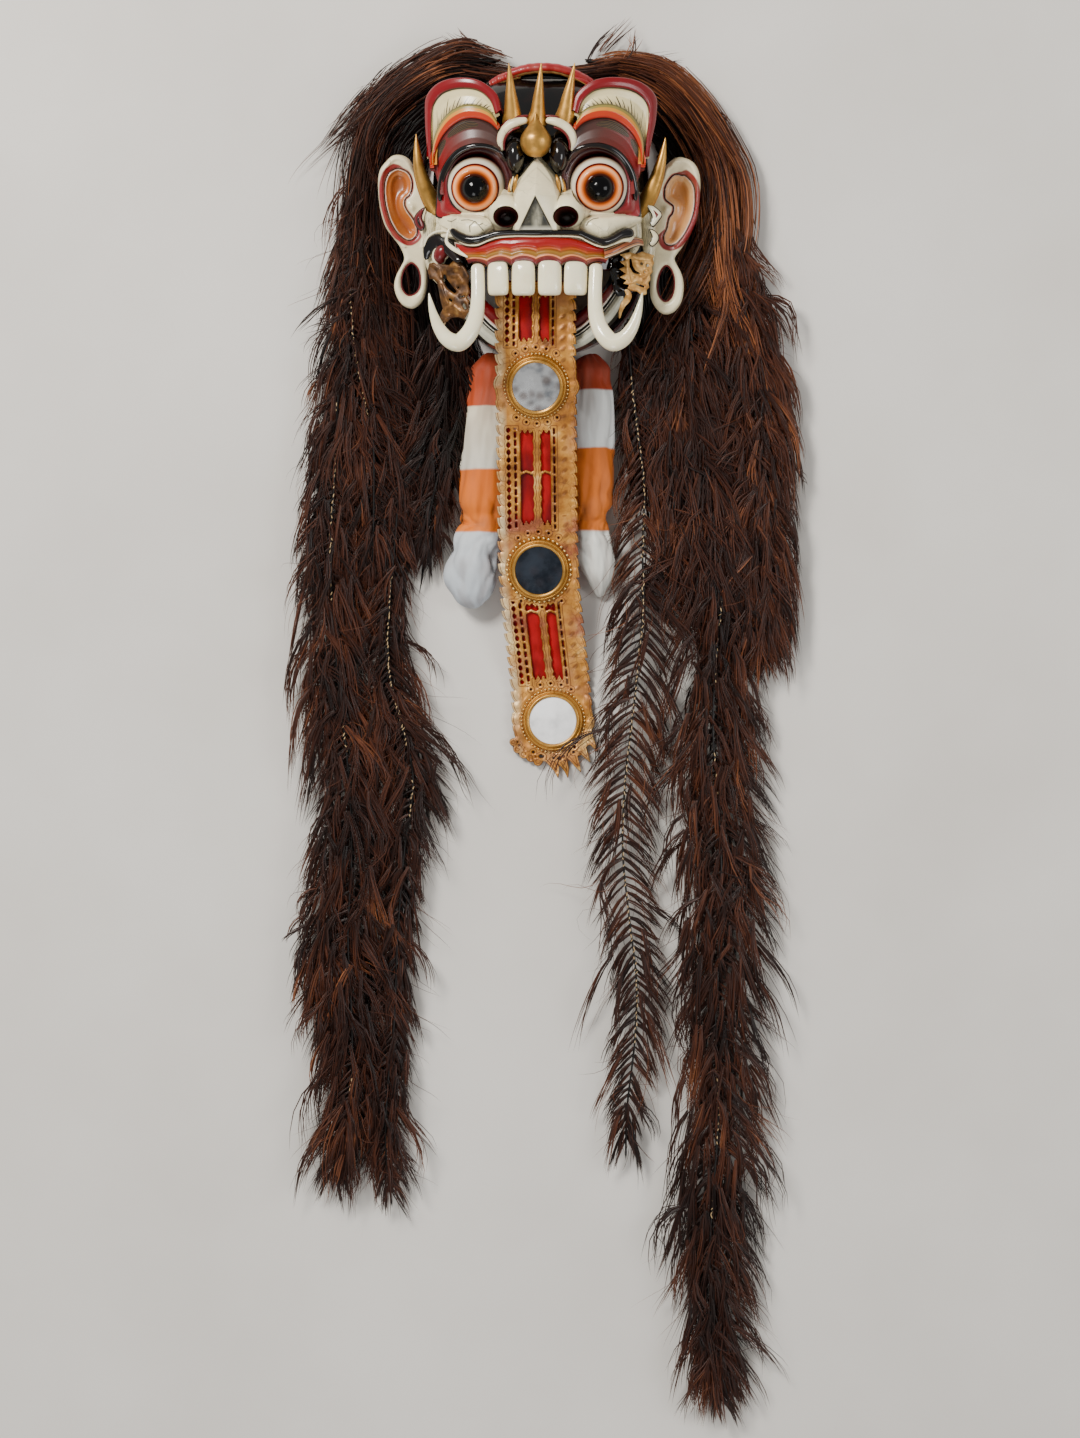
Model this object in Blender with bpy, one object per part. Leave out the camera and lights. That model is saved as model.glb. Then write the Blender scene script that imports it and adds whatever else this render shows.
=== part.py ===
# A carved and painted dance mask, lying on its back: face up, crown towards +Y, tongue and hair towards -Y.
# All lengths below are in millimetres and become metres as each mesh is made.
# While modelling, x = 0 is the middle of the face, y = 0 the middle of the eyes' lower lids, z = 0 the floor.
# At the end the whole object is moved so that its own bottom centre is the origin.

import math

import bmesh
import bpy
from mathutils import Matrix, Vector

MM = 0.001
GAP = 0.4  # clearance left between neighbouring pieces

# ---- driving dimensions ----
FACE_HALF_WIDTH = 126
FACE_TOP, FACE_BOTTOM = 152, 172  # from the middle to the crown and to the chin
FACE_POWER = 2.6  # superellipse power of the rim's outline
RIM_WALL = 50  # height of the side wall above the floor
FACE_CROWN = 118  # height of the plain face in its middle
SHELL = 16  # thickness of the carved wood at the rim
EYE_X, EYE_Y, EYE_Z, EYE_RADIUS = 73.5, 13, 120, 37
MOUTH_TOP = -74
TOOTH_WIDTH, TOOTH_PITCH, TOOTH_LENGTH = 26.5, 28.5, 38
TUSK_X = 68
LEAF_POINTS = 21  # three to each scallop of a cheek leaf
TONGUE_HALF_WIDTH = 47
TONGUE_END = -668
MIRROR_RADIUS, MIRROR_RIM, MIRROR_FACETS = 29.5, 38, 18
MIRROR_PLACES = {"upper": -213, "middle": -424, "lower": -599}
ROLL_HEIGHT = 46
LOCK_HEIGHT = 34  # thickness of a lock of hair as it lies


# ---- scene and materials ----
def clear_scene():
    for old in list(bpy.data.objects):
        bpy.data.objects.remove(old)


def paint(name, colour, roughness=0.4, metallic=0.0):
    material = bpy.data.materials.new(name)
    material.use_nodes = True
    shader = material.node_tree.nodes["Principled BSDF"]
    shader.inputs["Base Color"].default_value = (*colour, 1)
    shader.inputs["Roughness"].default_value = roughness
    shader.inputs["Metallic"].default_value = metallic
    material.diffuse_color = (*colour, 1)
    return material


# ---- mesh helpers ----
def new_object(name, bm, material=None, smooth_angle=None):
    bmesh.ops.recalc_face_normals(bm, faces=bm.faces)
    mesh = bpy.data.meshes.new(name)
    bm.to_mesh(mesh)
    bm.free()
    if material:
        mesh.materials.append(material)
    if smooth_angle:
        mesh.shade_smooth()
        mesh.set_sharp_from_angle(angle=math.radians(smooth_angle))
    obj = bpy.data.objects.new(name, mesh)
    bpy.context.scene.collection.objects.link(obj)
    return obj


def loft(name, rings, material=None, smooth_angle=35):
    """A closed body through rings of points that all have the same count."""
    bm = bmesh.new()
    rows = [[bm.verts.new(Vector(point) * MM) for point in ring] for ring in rings]
    count = len(rows[0])
    for lower, upper in zip(rows, rows[1:]):
        for i in range(count):
            j = (i + 1) % count
            bm.faces.new((lower[i], lower[j], upper[j], upper[i]))
    bm.faces.new(rows[0])
    bm.faces.new(rows[-1])
    return new_object(name, bm, material, smooth_angle)


def ellipsoid(name, centre, radii, segments=16, rings=10, material=None):
    bm = bmesh.new()
    place = Matrix.Translation(Vector(centre) * MM) @ Matrix.Diagonal((*(r * MM for r in radii), 1))
    bmesh.ops.create_uvsphere(bm, u_segments=segments, v_segments=rings, radius=1, matrix=place)
    return new_object(name, bm, material, 60)


def upright_hole(name, x, y, radii, low, high, segments):
    """A cutter for an oval hole that runs up and down."""
    bm = bmesh.new()
    place = Matrix.Translation(Vector((x, y, (low + high) / 2)) * MM) @ Matrix.Diagonal((radii[0], radii[1], 1, 1))
    depth = (high - low) * MM
    bmesh.ops.create_cone(bm, cap_ends=True, segments=segments, radius1=MM, radius2=MM, depth=depth, matrix=place)
    return new_object(name, bm)


def smooth_path(points, count):
    """Evenly numbered points on a Catmull-Rom curve through the given ones, of any dimension."""
    points = [Vector(p) for p in points]
    ends = [2 * points[0] - points[1], *points, 2 * points[-1] - points[-2]]
    path = []
    for i in range(count):
        where = i / (count - 1) * (len(points) - 1)
        k = min(int(where), len(points) - 2)
        t = where - k
        a, b, c, d = ends[k : k + 4]
        path.append(0.5 * (2 * b + (c - a) * t + (2 * a - 5 * b + 4 * c - d) * t**2 + (3 * b - a - 3 * c + d) * t**3))
    return path


def tube(name, route, count, sides, material=None, grow=0.0, across=(1.0, 1.0), smooth_angle=35):
    """A body swept along a route of (x, y, z, radius) points. across scales its width and its thickness."""
    path = smooth_path(route, count)
    for end, inner in ((0, 1), (-1, -2)):
        path[end] = path[end] + (path[end] - path[inner]).normalized() * grow
    rings = []
    for i, station in enumerate(path):
        here = Vector(station[:3])
        ahead = Vector(path[min(i + 1, count - 1)][:3])
        behind = Vector(path[max(i - 1, 0)][:3])
        along = (ahead - behind).normalized()
        side = along.cross(Vector((0, 0, 1))).normalized()
        up = side.cross(along)
        radius = max(station[3], 0.3) + grow
        ring = []
        for k in range(sides):
            angle = 2 * math.pi * k / sides
            ring.append(here + side * radius * across[0] * math.cos(angle) + up * radius * across[1] * math.sin(angle))
        rings.append(ring)
    return loft(name, rings, material, smooth_angle)


def as_helper(obj):
    obj.hide_render = True
    obj.display_type = "WIRE"
    return obj


def combine(target, other, operation):
    """Adds a Boolean modifier, and leaves its tool out of the object."""
    modifier = target.modifiers.new(other.name, "BOOLEAN")
    modifier.operation = operation
    modifier.object = as_helper(other)


def thin_out(obj, degrees):
    """Merges facets that are nearly in one plane."""
    modifier = obj.modifiers.new("fewer facets", "DECIMATE")
    modifier.decimate_type = "DISSOLVE"
    modifier.angle_limit = math.radians(degrees)


def side_name(base, side):
    return f"{base}_{'left' if side < 0 else 'right'}"


# ---- the carved face ----
def rim_point(angle, inset=0.0):
    """A point of the face's outline at this angle from +X, moved inwards by inset."""
    height = FACE_TOP if math.sin(angle) > 0 else FACE_BOTTOM
    c, s = math.cos(angle), math.sin(angle)
    power = 2 / FACE_POWER
    x = math.copysign(abs(c) ** power, c) * (FACE_HALF_WIDTH - inset)
    y = math.copysign(abs(s) ** power, s) * (height - inset)
    return x, y


def dome(name, inset, wall, crown, floor, rings=7, segments=36):
    """A round-shouldered box over the face's outline, with a straight wall below."""
    bm = bmesh.new()
    rows = []
    for level in (floor, wall):
        rows.append([(*rim_point(2 * math.pi * k / segments, inset), level) for k in range(segments)])
    for ring in range(1, rings):
        share = 1 - ring / rings
        z = wall + (crown - wall) * (1 - share**FACE_POWER) ** 0.55
        rows.append([(rows[0][k][0] * share, rows[0][k][1] * share, z) for k in range(segments)])
    made = [[bm.verts.new(Vector(p) * MM) for p in row] for row in rows]
    for lower, upper in zip(made, made[1:]):
        for k in range(segments):
            j = (k + 1) % segments
            bm.faces.new((lower[k], lower[j], upper[j], upper[k]))
    top = bm.verts.new(Vector((0, 0, crown)) * MM)
    for k in range(segments):
        bm.faces.new((made[-1][k], made[-1][(k + 1) % segments], top))
    bm.faces.new(made[0])
    return new_object(name, bm, smooth_angle=40)


def tooth_arch(x):
    """Depth of the row of teeth at x."""
    return 162 - 0.0035 * x * x


def brow_edges(side, share):
    """Points of a brow panel's lower edge, over the eye, and of its raised top edge, from nose to temple."""
    lower = smooth_path([(44, 42), (52, 58), (72, 63), (93, 57), (108, 38), (112, 20)], 41)
    upper = smooth_path([(40, 108), (47, 126), (66, 138), (88, 141), (110, 135), (127, 112), (129, 78), (125, 40)], 41)
    k = share * 40
    i = min(int(k), 39)
    low = lower[i].lerp(lower[i + 1], k - i)
    high = upper[i].lerp(upper[i + 1], k - i)
    return (side * low.x, low.y), (side * high.x, high.y)


def brow_height(x, across):
    """Height of a brow panel's face: a roll over the eye, a hollow and a raised rim, falling away to the temple."""
    profile = [(0, 149), (0.18, 154), (0.45, 153), (0.6, 149), (0.75, 146), (0.9, 150), (1.0, 152)]
    for (a, low), (b, high) in zip(profile, profile[1:]):
        if across <= b:
            z = low + (high - low) * (across - a) / (b - a)
            break
    return z - 0.0028 * max(abs(x) - 60, 0) ** 2 * 2.2


def brow_panel(side):
    bm = bmesh.new()
    stations, rows = 15, (0, 0.18, 0.45, 0.6, 0.75, 0.9, 1.0)
    front = []
    for i in range(stations):
        (x0, y0), (x1, y1) = brow_edges(side, i / (stations - 1))
        line = []
        for across in rows:
            x, y = x0 + (x1 - x0) * across, y0 + (y1 - y0) * across
            line.append(bm.verts.new(Vector((x, y, brow_height(x, across))) * MM))
        front.append(line)
    back = [[bm.verts.new((v.co.x * 0.97, v.co.y * 0.97, 62 * MM)) for v in line] for line in front]
    last, top = stations - 1, len(rows) - 1
    for i in range(last):
        for k in range(top):
            bm.faces.new((front[i][k], front[i + 1][k], front[i + 1][k + 1], front[i][k + 1]))
            bm.faces.new((back[i][k], back[i][k + 1], back[i + 1][k + 1], back[i + 1][k]))
        bm.faces.new((front[i][0], back[i][0], back[i + 1][0], front[i + 1][0]))
        bm.faces.new((front[i][top], front[i + 1][top], back[i + 1][top], back[i][top]))
    for k in range(top):
        bm.faces.new((front[0][k], front[0][k + 1], back[0][k + 1], back[0][k]))
        bm.faces.new((front[last][k], back[last][k], back[last][k + 1], front[last][k + 1]))
    return new_object(side_name("brow_form", side), bm, smooth_angle=40)


def nose():
    sections = [(54, 132, 6), (42, 150, 9), (20, 168, 14), (0, 184, 18), (-14, 194, 21), (-25, 191, 22), (-35, 166, 20)]
    rings = []
    for y, z, half in sections:
        right = [(half, 96), (half, z - half * 0.95), (half * 0.6, z - half * 0.42), (half * 0.16, z - 1)]
        outline = right + [(-x, h) for x, h in reversed(right)]
        rings.append([(x, y, h) for x, h in outline])
    return loft("nose_form", rings)


def upper_lip():
    """The band of lip over the teeth, which waves down at each side and ends at the mouth's corners."""
    rings = []
    for i in range(19):
        x = -104 + 208 * i / 18
        a = abs(x)
        top = -35 - 13 * math.exp(-(((a - 74) / 24) ** 2))
        bottom = MOUTH_TOP + 0.5 if a < 80 else MOUTH_TOP + 0.5 + (a - 80) * 1.0
        front = tooth_arch(x)
        rings.append(
            [
                (x, top, 88),
                (x, top, front - 6),
                (x, top - 4, front + 4),
                (x, (top + bottom) / 2, front + 7),
                (x, bottom + 3, front + 5),
                (x, bottom, front),
                (x, bottom, 88),
            ]
        )
    return loft("lip_form", rings)


def mouth_prism():
    """The mouth's opening, between the lip and the jaw, right through the shell."""
    half = [(86, MOUTH_TOP - 3), (72, -108), (52, -133), (28, -151), (0, -157)]
    outline = half + [(-x, y) for x, y in reversed(half[:-1])]
    return loft("mouth_cutter", [[(x, y, z) for x, y in outline] for z in (-20, 220)])


def carved_face(wood):
    face = dome("mask", 0, RIM_WALL, FACE_CROWN, 0)
    face.data.materials.append(wood)
    forms = [
        ellipsoid("muzzle_form", (0, -50, 85), (98, 42, 74), 18, 10),
        ellipsoid("forehead_form", (0, 80, 104), (47, 25, 38), 14, 8),
        nose(),
        upper_lip(),
        tube(
            "jaw_form",
            [(-x, y, z, r) for x, y, z, r in JAW_ROUTE] + JAW_ROUTE[::-1],
            15,
            6,
            across=(0.62, 1.15),
        ),
    ]
    for side in (-1, 1):
        forms += [
            ellipsoid(side_name("eye_form", side), (side * EYE_X, EYE_Y, EYE_Z), (EYE_RADIUS,) * 3, 16, 10),
            ellipsoid(side_name("wing_form", side), (side * 35, -17, 157), (20, 18, 22), 12, 8),
            ellipsoid(side_name("frown_form", side), (side * 25, 52, 138), (13, 20, 18), 10, 6),
            brow_panel(side),
            tube(
                side_name("cheek_form", side),
                [(side * 50, -30, 154, 12), (side * 76, -33, 144, 12), (side * 99, -25, 122, 11), (side * 114, -8, 98, 9)],
                7,
                6,
            ),
            tube(
                side_name("temple_form", side),
                [(side * 113, 8, 90, 8), (side * 123, -24, 84, 9), (side * 122, -56, 80, 9), (side * 108, -88, 86, 9)],
                6,
                6,
            ),
            tube(
                side_name("crest_form", side),
                [(side * 41, 60, 140, 5), (side * 38, 79, 142, 5), (side * 26, 91, 142, 5), (side * 12, 93, 142, 5)],
                6,
                6,
            ),
        ]
    for form in forms:
        combine(face, form, "UNION")
    combine(face, mouth_prism(), "DIFFERENCE")
    combine(face, dome("hollow_cutter", SHELL, 34, FACE_CROWN - 20, -20, 5, 28), "DIFFERENCE")
    for side in (-1, 1):
        nostril = ellipsoid(side_name("nostril_cutter", side), (side * 34, -20, 180), (13.5, 10.5, 17), 12, 6)
        combine(face, nostril, "DIFFERENCE")
    return face


JAW_ROUTE = [(100, -90, 90, 15), (84, -119, 92, 15), (60, -146, 93, 15), (34, -161, 94, 15), (10, -166, 94, 15)]


# ---- horns, drop and teeth, each set in a socket ----
HORNS = {
    "horn_left": [(-29, 84, 134, 10.5), (-31, 110, 142, 8), (-35, 136, 148, 4.6), (-38, 158, 151, 0.6)],
    "horn_middle": [(0, 86, 132, 11), (1, 110, 141, 8.6), (2, 136, 148, 4.8), (3, 158, 151, 0.6)],
    "horn_right": [(29, 84, 134, 10.5), (31, 110, 142, 8), (35, 136, 148, 4.6), (38, 158, 151, 0.6)],
    "temple_horn_left": [(-116, -8, 86, 8.5), (-130, 12, 98, 7.5), (-139, 42, 105, 5), (-142, 74, 106, 0.6)],
    "temple_horn_right": [(116, -8, 86, 8.5), (130, 12, 98, 7.5), (139, 42, 105, 5), (142, 74, 106, 0.6)],
}


def forehead_drop(name, material=None, grow=0.0):
    """The gilded drop over the nose: a bulb that narrows to a point towards the crown."""
    rings = []
    stations = [(47 - grow, 3), (50, 9), (56, 14.5), (65, 16.5), (74, 14.5), (83, 9.5), (92, 5), (103 + grow, 0.8)]
    for y, radius in stations:
        r = radius + grow
        z = 158 + (y - 47) * 0.1
        rings.append([(r * math.cos(a), y, z + r * math.sin(a)) for a in [2 * math.pi * k / 12 for k in range(12)]])
    return loft(name, rings, material, 40)


def tooth(name, centre_x, material=None, grow=0.0):
    """A front tooth: a rounded block that follows the arch, narrower at its root."""
    thickness = 9
    slope = math.atan(-0.007 * centre_x)
    root, tip = MOUTH_TOP + 5 + grow, MOUTH_TOP - TOOTH_LENGTH - grow
    rings = []
    for y, share in [(root, 0.86), (MOUTH_TOP - 6, 0.97), (tip + 9, 1.0), (tip + 2, 0.9), (tip, 0.7)]:
        half = TOOTH_WIDTH / 2 * share + grow
        depth = thickness / 2 * (1 if share > 0.8 else 0.6) + grow
        ring = []
        for u, w in [(-1, -1), (1, -1), (1, 0.3), (0.75, 1), (-0.75, 1), (-1, 0.3)]:
            local = Vector((u * half, 0, w * depth))
            local.rotate(Matrix.Rotation(-slope, 3, "Y"))
            ring.append((centre_x + local.x, y, tooth_arch(centre_x) - 2 + local.z))
        rings.append(ring)
    return loft(name, rings, material, 30)


TUSK_ROUTE = [
    (TUSK_X, -69, 141, 8),
    (TUSK_X - 1, -98, 150, 9),
    (TUSK_X - 1, -122, 161, 10.5),
    (74, -149, 171, 11.5),
    (91, -164, 177, 11),
    (108, -152, 179, 8.5),
    (116, -131, 179, 5),
    (120, -110, 177, 0.7),
]


def tusk(name, side, material=None, grow=0.0):
    route = [(side * x, y, z, r) for x, y, z, r in TUSK_ROUTE]
    return tube(name, route, 13, 7, material, grow, across=(1.0, 0.72))


# ---- ears ----
EAR_OUTLINE = [
    (118, 20), (134, 34), (148, 47), (164, 50), (178, 40), (186, 18), (184, -14), (172, -40), (160, -56), (157, -70),
    (166, -86), (167, -104), (159, -123), (147, -129), (135, -121), (130, -102), (133, -82), (136, -66), (130, -52), (118, -38),
]
LOBE_HOLE = (149, -96, 10.5, 17)


def ear(name, side, material=None, grow=0.0):
    """A flat ear with a hollow and a long pierced lobe, leaning a little forwards at its outer edge."""
    outline = smooth_path([*EAR_OUTLINE, EAR_OUTLINE[0]], 37)[:-1]
    middle = Vector((152, -40))
    bm = bmesh.new()
    half = 6.5 + grow

    def point(p, z):
        away = (p - middle).normalized() * grow
        x, y = p.x + away.x, p.y + away.y
        return bm.verts.new(Vector((side * x, y, 58 + z + 0.12 * (x - 128))) * MM)

    layers = [[point(p, z) for p in outline] for z in (-half, half)]
    count = len(outline)
    for i in range(count):
        j = (i + 1) % count
        bm.faces.new((layers[0][i], layers[0][j], layers[1][j], layers[1][i]))
    bm.faces.new(layers[0])
    bm.faces.new(layers[1])
    made = new_object(name, bm, material, 35)
    if not grow:
        x, y, *radii = LOBE_HOLE
        hole = upright_hole(side_name("lobe_cutter", side), side * x, y, radii, 30, 90, 16)
        combine(made, hole, "DIFFERENCE")
        hollow = ellipsoid(side_name("concha_cutter", side), (side * 157, -4, 72), (17, 37, 12), 16, 8)
        combine(made, hollow, "DIFFERENCE")
    return made


# ---- gilded leaves on the cheeks ----
def cheek_ornament(name, side, material):
    """A thin scalloped leaf with two eyelets, leaning outwards, over a smaller curled leaf."""
    thickness, lean = 3.5, 0.42
    centre_x, centre_y, base_z = 111, -84, 113
    bm = bmesh.new()

    def leaf_ring(cx, cy, length, width, lobes, count, turn):
        ring = []
        for k in range(count):
            angle = 2 * math.pi * k / count
            reach = 1 + 0.14 * math.cos(lobes * angle)
            u, v = width * reach * math.cos(angle), length * reach * math.sin(angle)
            ring.append((cx + u * math.cos(turn) - v * math.sin(turn), cy + u * math.sin(turn) + v * math.cos(turn)))
        return ring

    outline = leaf_ring(centre_x, centre_y, 27, 21, 7, LEAF_POINTS, 0.25)
    layers = []
    for lift in (0, thickness):
        layers.append([bm.verts.new(Vector((side * x, y, base_z + lift - lean * (x - 92))) * MM) for x, y in outline])
    for i, j in zip(range(LEAF_POINTS), [*range(1, LEAF_POINTS), 0]):
        bm.faces.new((layers[0][i], layers[0][j], layers[1][j], layers[1][i]))
    bm.faces.new(layers[0])
    bm.faces.new(layers[1])
    made = new_object(name, bm, material, 35)
    tail = tube(
        side_name("curl_form", side),
        [(side * 104, -100, 112, 7), (side * 99, -116, 114, 8), (side * 94, -132, 115, 6), (side * 100, -145, 114, 1.5)],
        8,
        6,
        across=(1.0, 0.34),
    )
    combine(made, tail, "UNION")
    for number, x in enumerate((105, 120)):
        eyelet = upright_hole(f"{name}_eyelet_{number}", side * x, -78, (3.4, 3.4), 80, 150, 6)
        combine(made, eyelet, "DIFFERENCE")
    return made


# ---- the crown's band ----
def crown_band(name, material=None, grow=0.0):
    """An upright leather strip bent over the crown, in a groove of the carved face's edge."""
    route = [(-57, 141, 62, 5.5), (-32, 151, 63, 5.5), (0, 154, 63, 5.5), (32, 151, 63, 5.5), (57, 141, 62, 5.5)]
    return tube(name, route, 13, 6, material, grow, across=(1.0, 2.1))


# ---- tongue ----
# (y, height) of the leather's underside, straight under each mirror
TONGUE_FALL = [
    (-88, 108), (-128, 112.5), (-150, 114), (-171, 114), (-256, 88), (-320, 67), (-384, 51),
    (-464, 33), (-515, 16), (-558, 4), (TONGUE_END, 4),
]
WINDOWS = [(-112, -161), (-259, -374), (-466, -552)]  # from y to y, each a pair beside the middle stem
WINDOW_SIDES = (3.4, 18.5)  # x from the tongue's middle


def tongue_height(y):
    for (y0, z0), (y1, z1) in zip(TONGUE_FALL, TONGUE_FALL[1:]):
        if y >= y1:
            return z0 + (z1 - z0) * (y - y0) / (y1 - y0)
    return TONGUE_FALL[-1][1]


def tongue_middle(y):
    """The tongue swings a little to the right in its lower part."""
    share = min(max((-400 - y) / 220, 0), 1)
    return 19 * share * share * (3 - 2 * share)


def tongue_rows(step, windows=()):
    """Values of y down the tongue: every bend and window end, with even steps between."""
    stops = sorted({y for y, z in TONGUE_FALL} | {y for window in windows for y in window}, reverse=True)
    rows = []
    for start, end in zip(stops, stops[1:]):
        parts = max(1, round((start - end) / step))
        rows += [start + (end - start) * i / parts for i in range(parts)]
    return rows + [stops[-1]]


def sheet(name, rows, is_open, thickness, offset, material):
    """A sheet of cells over rows of points, with some cells left open, given its thickness."""
    bm = bmesh.new()
    made = [[bm.verts.new(Vector(point) * MM) for point in row] for row in rows]
    for i in range(len(rows) - 1):
        for k in range(len(rows[0]) - 1):
            if not is_open(i, k):
                bm.faces.new((made[i][k], made[i + 1][k], made[i + 1][k + 1], made[i][k + 1]))
    for vert in [v for v in bm.verts if not v.link_faces]:
        bm.verts.remove(vert)
    mesh = bpy.data.meshes.new(name)
    bm.to_mesh(mesh)
    bm.free()
    mesh.materials.append(material)
    made_sheet = bpy.data.objects.new(name, mesh)
    bpy.context.scene.collection.objects.link(made_sheet)
    wall = made_sheet.modifiers.new("thickness", "SOLIDIFY")
    wall.thickness = thickness * MM
    wall.offset = offset
    return made_sheet


def tongue_leather(material):
    """Cut and gilded leather: scalloped edges, three pairs of long windows, a pointed end."""
    ys = tongue_rows(13, WINDOWS)
    inner, outer = WINDOW_SIDES
    rows = []
    for i, y in enumerate(ys):
        edge = TONGUE_HALF_WIDTH + (2 if i % 2 else -1.5)
        end = max(0, (TONGUE_END + 30 - y) / 30)
        edge *= 1 - 0.72 * end**2
        scale = min(1, edge / 30)
        middle, z = tongue_middle(y), tongue_height(y)
        rows.append([(middle + x, y, z) for x in (-edge, -outer * scale, -inner * scale, inner * scale, outer * scale, edge)])

    def is_open(i, k):
        centre = (ys[i] + ys[i + 1]) / 2
        return k in (1, 3) and any(low < centre < high for high, low in WINDOWS)

    return sheet("tongue_leather", rows, is_open, 3, 1, material)


def tongue_cloth(material):
    """The red cloth under the leather, a little narrower and shorter."""
    rows = []
    for y in tongue_rows(40):
        if y > TONGUE_END + 20:
            half = TONGUE_HALF_WIDTH - 6
            rows.append([(tongue_middle(y) + x, y, tongue_height(y) - GAP) for x in (-half, 0, half)])
    return sheet("tongue_cloth", rows, lambda i, k: False, 2, -1, material)


def mirror_place(y):
    """Where a mirror lies: on the leather, turned with its slope."""
    rise = (tongue_height(y + 5) - tongue_height(y - 5)) / 10
    turn = Matrix.Rotation(math.atan(rise), 4, "X")
    lift = 3 / math.cos(math.atan(rise)) + GAP
    return Matrix.Translation(Vector((tongue_middle(y), y, tongue_height(y) + lift)) * MM) @ turn


def mirror(label, y, glass, gilt):
    place = mirror_place(y)
    bm = bmesh.new()
    shift = Matrix.Translation((0, 0, 1.8 * MM))
    radius = MIRROR_RADIUS * MM
    bmesh.ops.create_cone(
        bm, cap_ends=True, segments=MIRROR_FACETS, radius1=radius, radius2=radius, depth=3 * MM, matrix=place @ shift
    )
    new_object(f"mirror_{label}", bm, glass, 35)
    section = [(MIRROR_RADIUS + GAP, 0), (MIRROR_RIM, 0), (MIRROR_RIM, 3.5), (MIRROR_RIM - 3, 7), (MIRROR_RADIUS + 2, 7)]
    bm = bmesh.new()
    rows = []
    for k in range(MIRROR_FACETS):
        angle = 2 * math.pi * k / MIRROR_FACETS
        row = [place @ (Vector((r * math.cos(angle), r * math.sin(angle), h)) * MM) for r, h in section]
        rows.append([bm.verts.new(point) for point in row])
    for here, ahead in zip(rows, rows[1:] + rows[:1]):
        for i, j in zip(range(5), (1, 2, 3, 4, 0)):
            bm.faces.new((here[i], here[j], ahead[j], ahead[i]))
    new_object(f"mirror_rim_{label}", bm, gilt, 35)


# ---- soft pieces that lie on the floor ----
def lying(name, stations, height, material, count, jag=0.0):
    """A flat-bottomed body along (x, y, half width) stations; jag makes its edges uneven, as barbs do."""
    path = smooth_path(stations, count)
    widest = max(w for x, y, w in stations)
    rings = []
    for i, (x, y, w) in enumerate(path):
        ahead, behind = path[min(i + 1, count - 1)], path[max(i - 1, 0)]
        along = Vector((ahead.x - behind.x, ahead.y - behind.y)).normalized()
        side = Vector((along.y, -along.x))
        half = max(w, 2) * (1 + (jag if i % 2 else -jag))
        tall = height * min(1, (max(w, 2) / widest) ** 0.6)
        section = [(-0.9, 0), (0.9, 0), (1, 0.35), (0.5, 1), (-0.5, 1), (-1, 0.35)]
        rings.append([(x + side.x * u * half, y + side.y * u * half, v * tall) for u, v in section])
    return loft(name, rings, material, 40)


ROLLS = {
    "roll_left": [
        (-54, -179, 20), (-55, -186, 28), (-60, -250, 29), (-64, -310, 28), (-67, -372, 22), (-76, -392, 27),
        (-79, -430, 29), (-78, -462, 14),
    ],
    "roll_right": [
        (52, -179, 18), (53, -186, 26), (55, -250, 28), (55, -310, 27), (55, -360, 22), (57, -395, 20),
        (59, -425, 16), (60, -452, 6),
    ],
}

# each lock from its root under the crown or cheek to its tip
LOCKS = {
    "hair_crown": [(-54, 169, 13), (-25, 173, 14), (0, 174, 15), (25, 173, 14), (52, 169, 13)],
    "lock_left_temple": [
        (-64, 168, 12), (-110, 162, 18), (-160, 134, 22), (-190, 90, 24), (-202, 30, 24), (-203, -40, 22),
        (-206, -110, 20), (-206, -180, 20), (-202, -250, 17), (-200, -320, 13), (-199, -390, 8), (-200, -450, 3),
    ],
    "lock_left_outer": [
        (-234, -10, 4), (-240, -60, 10), (-250, -140, 20), (-252, -230, 24), (-250, -320, 30), (-243, -400, 30),
        (-240, -480, 32), (-239, -560, 36), (-239, -660, 38), (-241, -760, 40), (-245, -850, 44), (-228, -950, 38),
        (-222, -1040, 36), (-220, -1110, 28), (-232, -1162, 4),
    ],
    "lock_left_inner": [
        (-160, -70, 6), (-160, -120, 16), (-160, -200, 20), (-156, -280, 20), (-158, -350, 18), (-164, -420, 20),
        (-168, -490, 20), (-170, -560, 21), (-168, -640, 20), (-170, -740, 18), (-170, -840, 15), (-160, -920, 14),
        (-158, -1000, 12), (-158, -1090, 9), (-166, -1166, 3),
    ],
    "lock_left_cheek": [
        (-112, -132, 5), (-114, -170, 13), (-115, -230, 15), (-118, -300, 13), (-124, -380, 9), (-130, -440, 3),
    ],
    "lock_right_temple": [
        (64, 168, 12), (115, 164, 18), (166, 140, 22), (200, 92, 26), (216, 30, 26), (224, -40, 28), (238, -120, 30),
        (254, -200, 32), (262, -280, 32), (262, -370, 26), (262, -450, 22), (264, -540, 4),
    ],
    "lock_right_long": [
        (170, 20, 4), (172, -40, 12), (178, -120, 20), (188, -200, 22), (198, -280, 24), (206, -360, 24),
        (212, -440, 24), (216, -520, 30), (220, -600, 46), (212, -680, 42), (220, -760, 50), (218, -860, 44),
        (212, -960, 44), (218, -1060, 48), (216, -1150, 46), (212, -1220, 36), (206, -1300, 18), (208, -1360, 10),
        (212, -1408, 3),
    ],
    "lock_right_cheek": [(140, -132, 5), (146, -180, 12), (150, -240, 13), (155, -310, 12), (160, -380, 8), (164, -440, 3)],
    "lock_right_breast": [
        (108, -128, 5), (110, -180, 16), (110, -250, 20), (114, -340, 24), (118, -430, 28), (116, -520, 30),
        (104, -600, 32), (102, -680, 32), (100, -760, 30), (98, -840, 28), (104, -920, 26), (112, -1000, 20),
        (116, -1060, 12), (118, -1104, 3),
    ],
}


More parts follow.
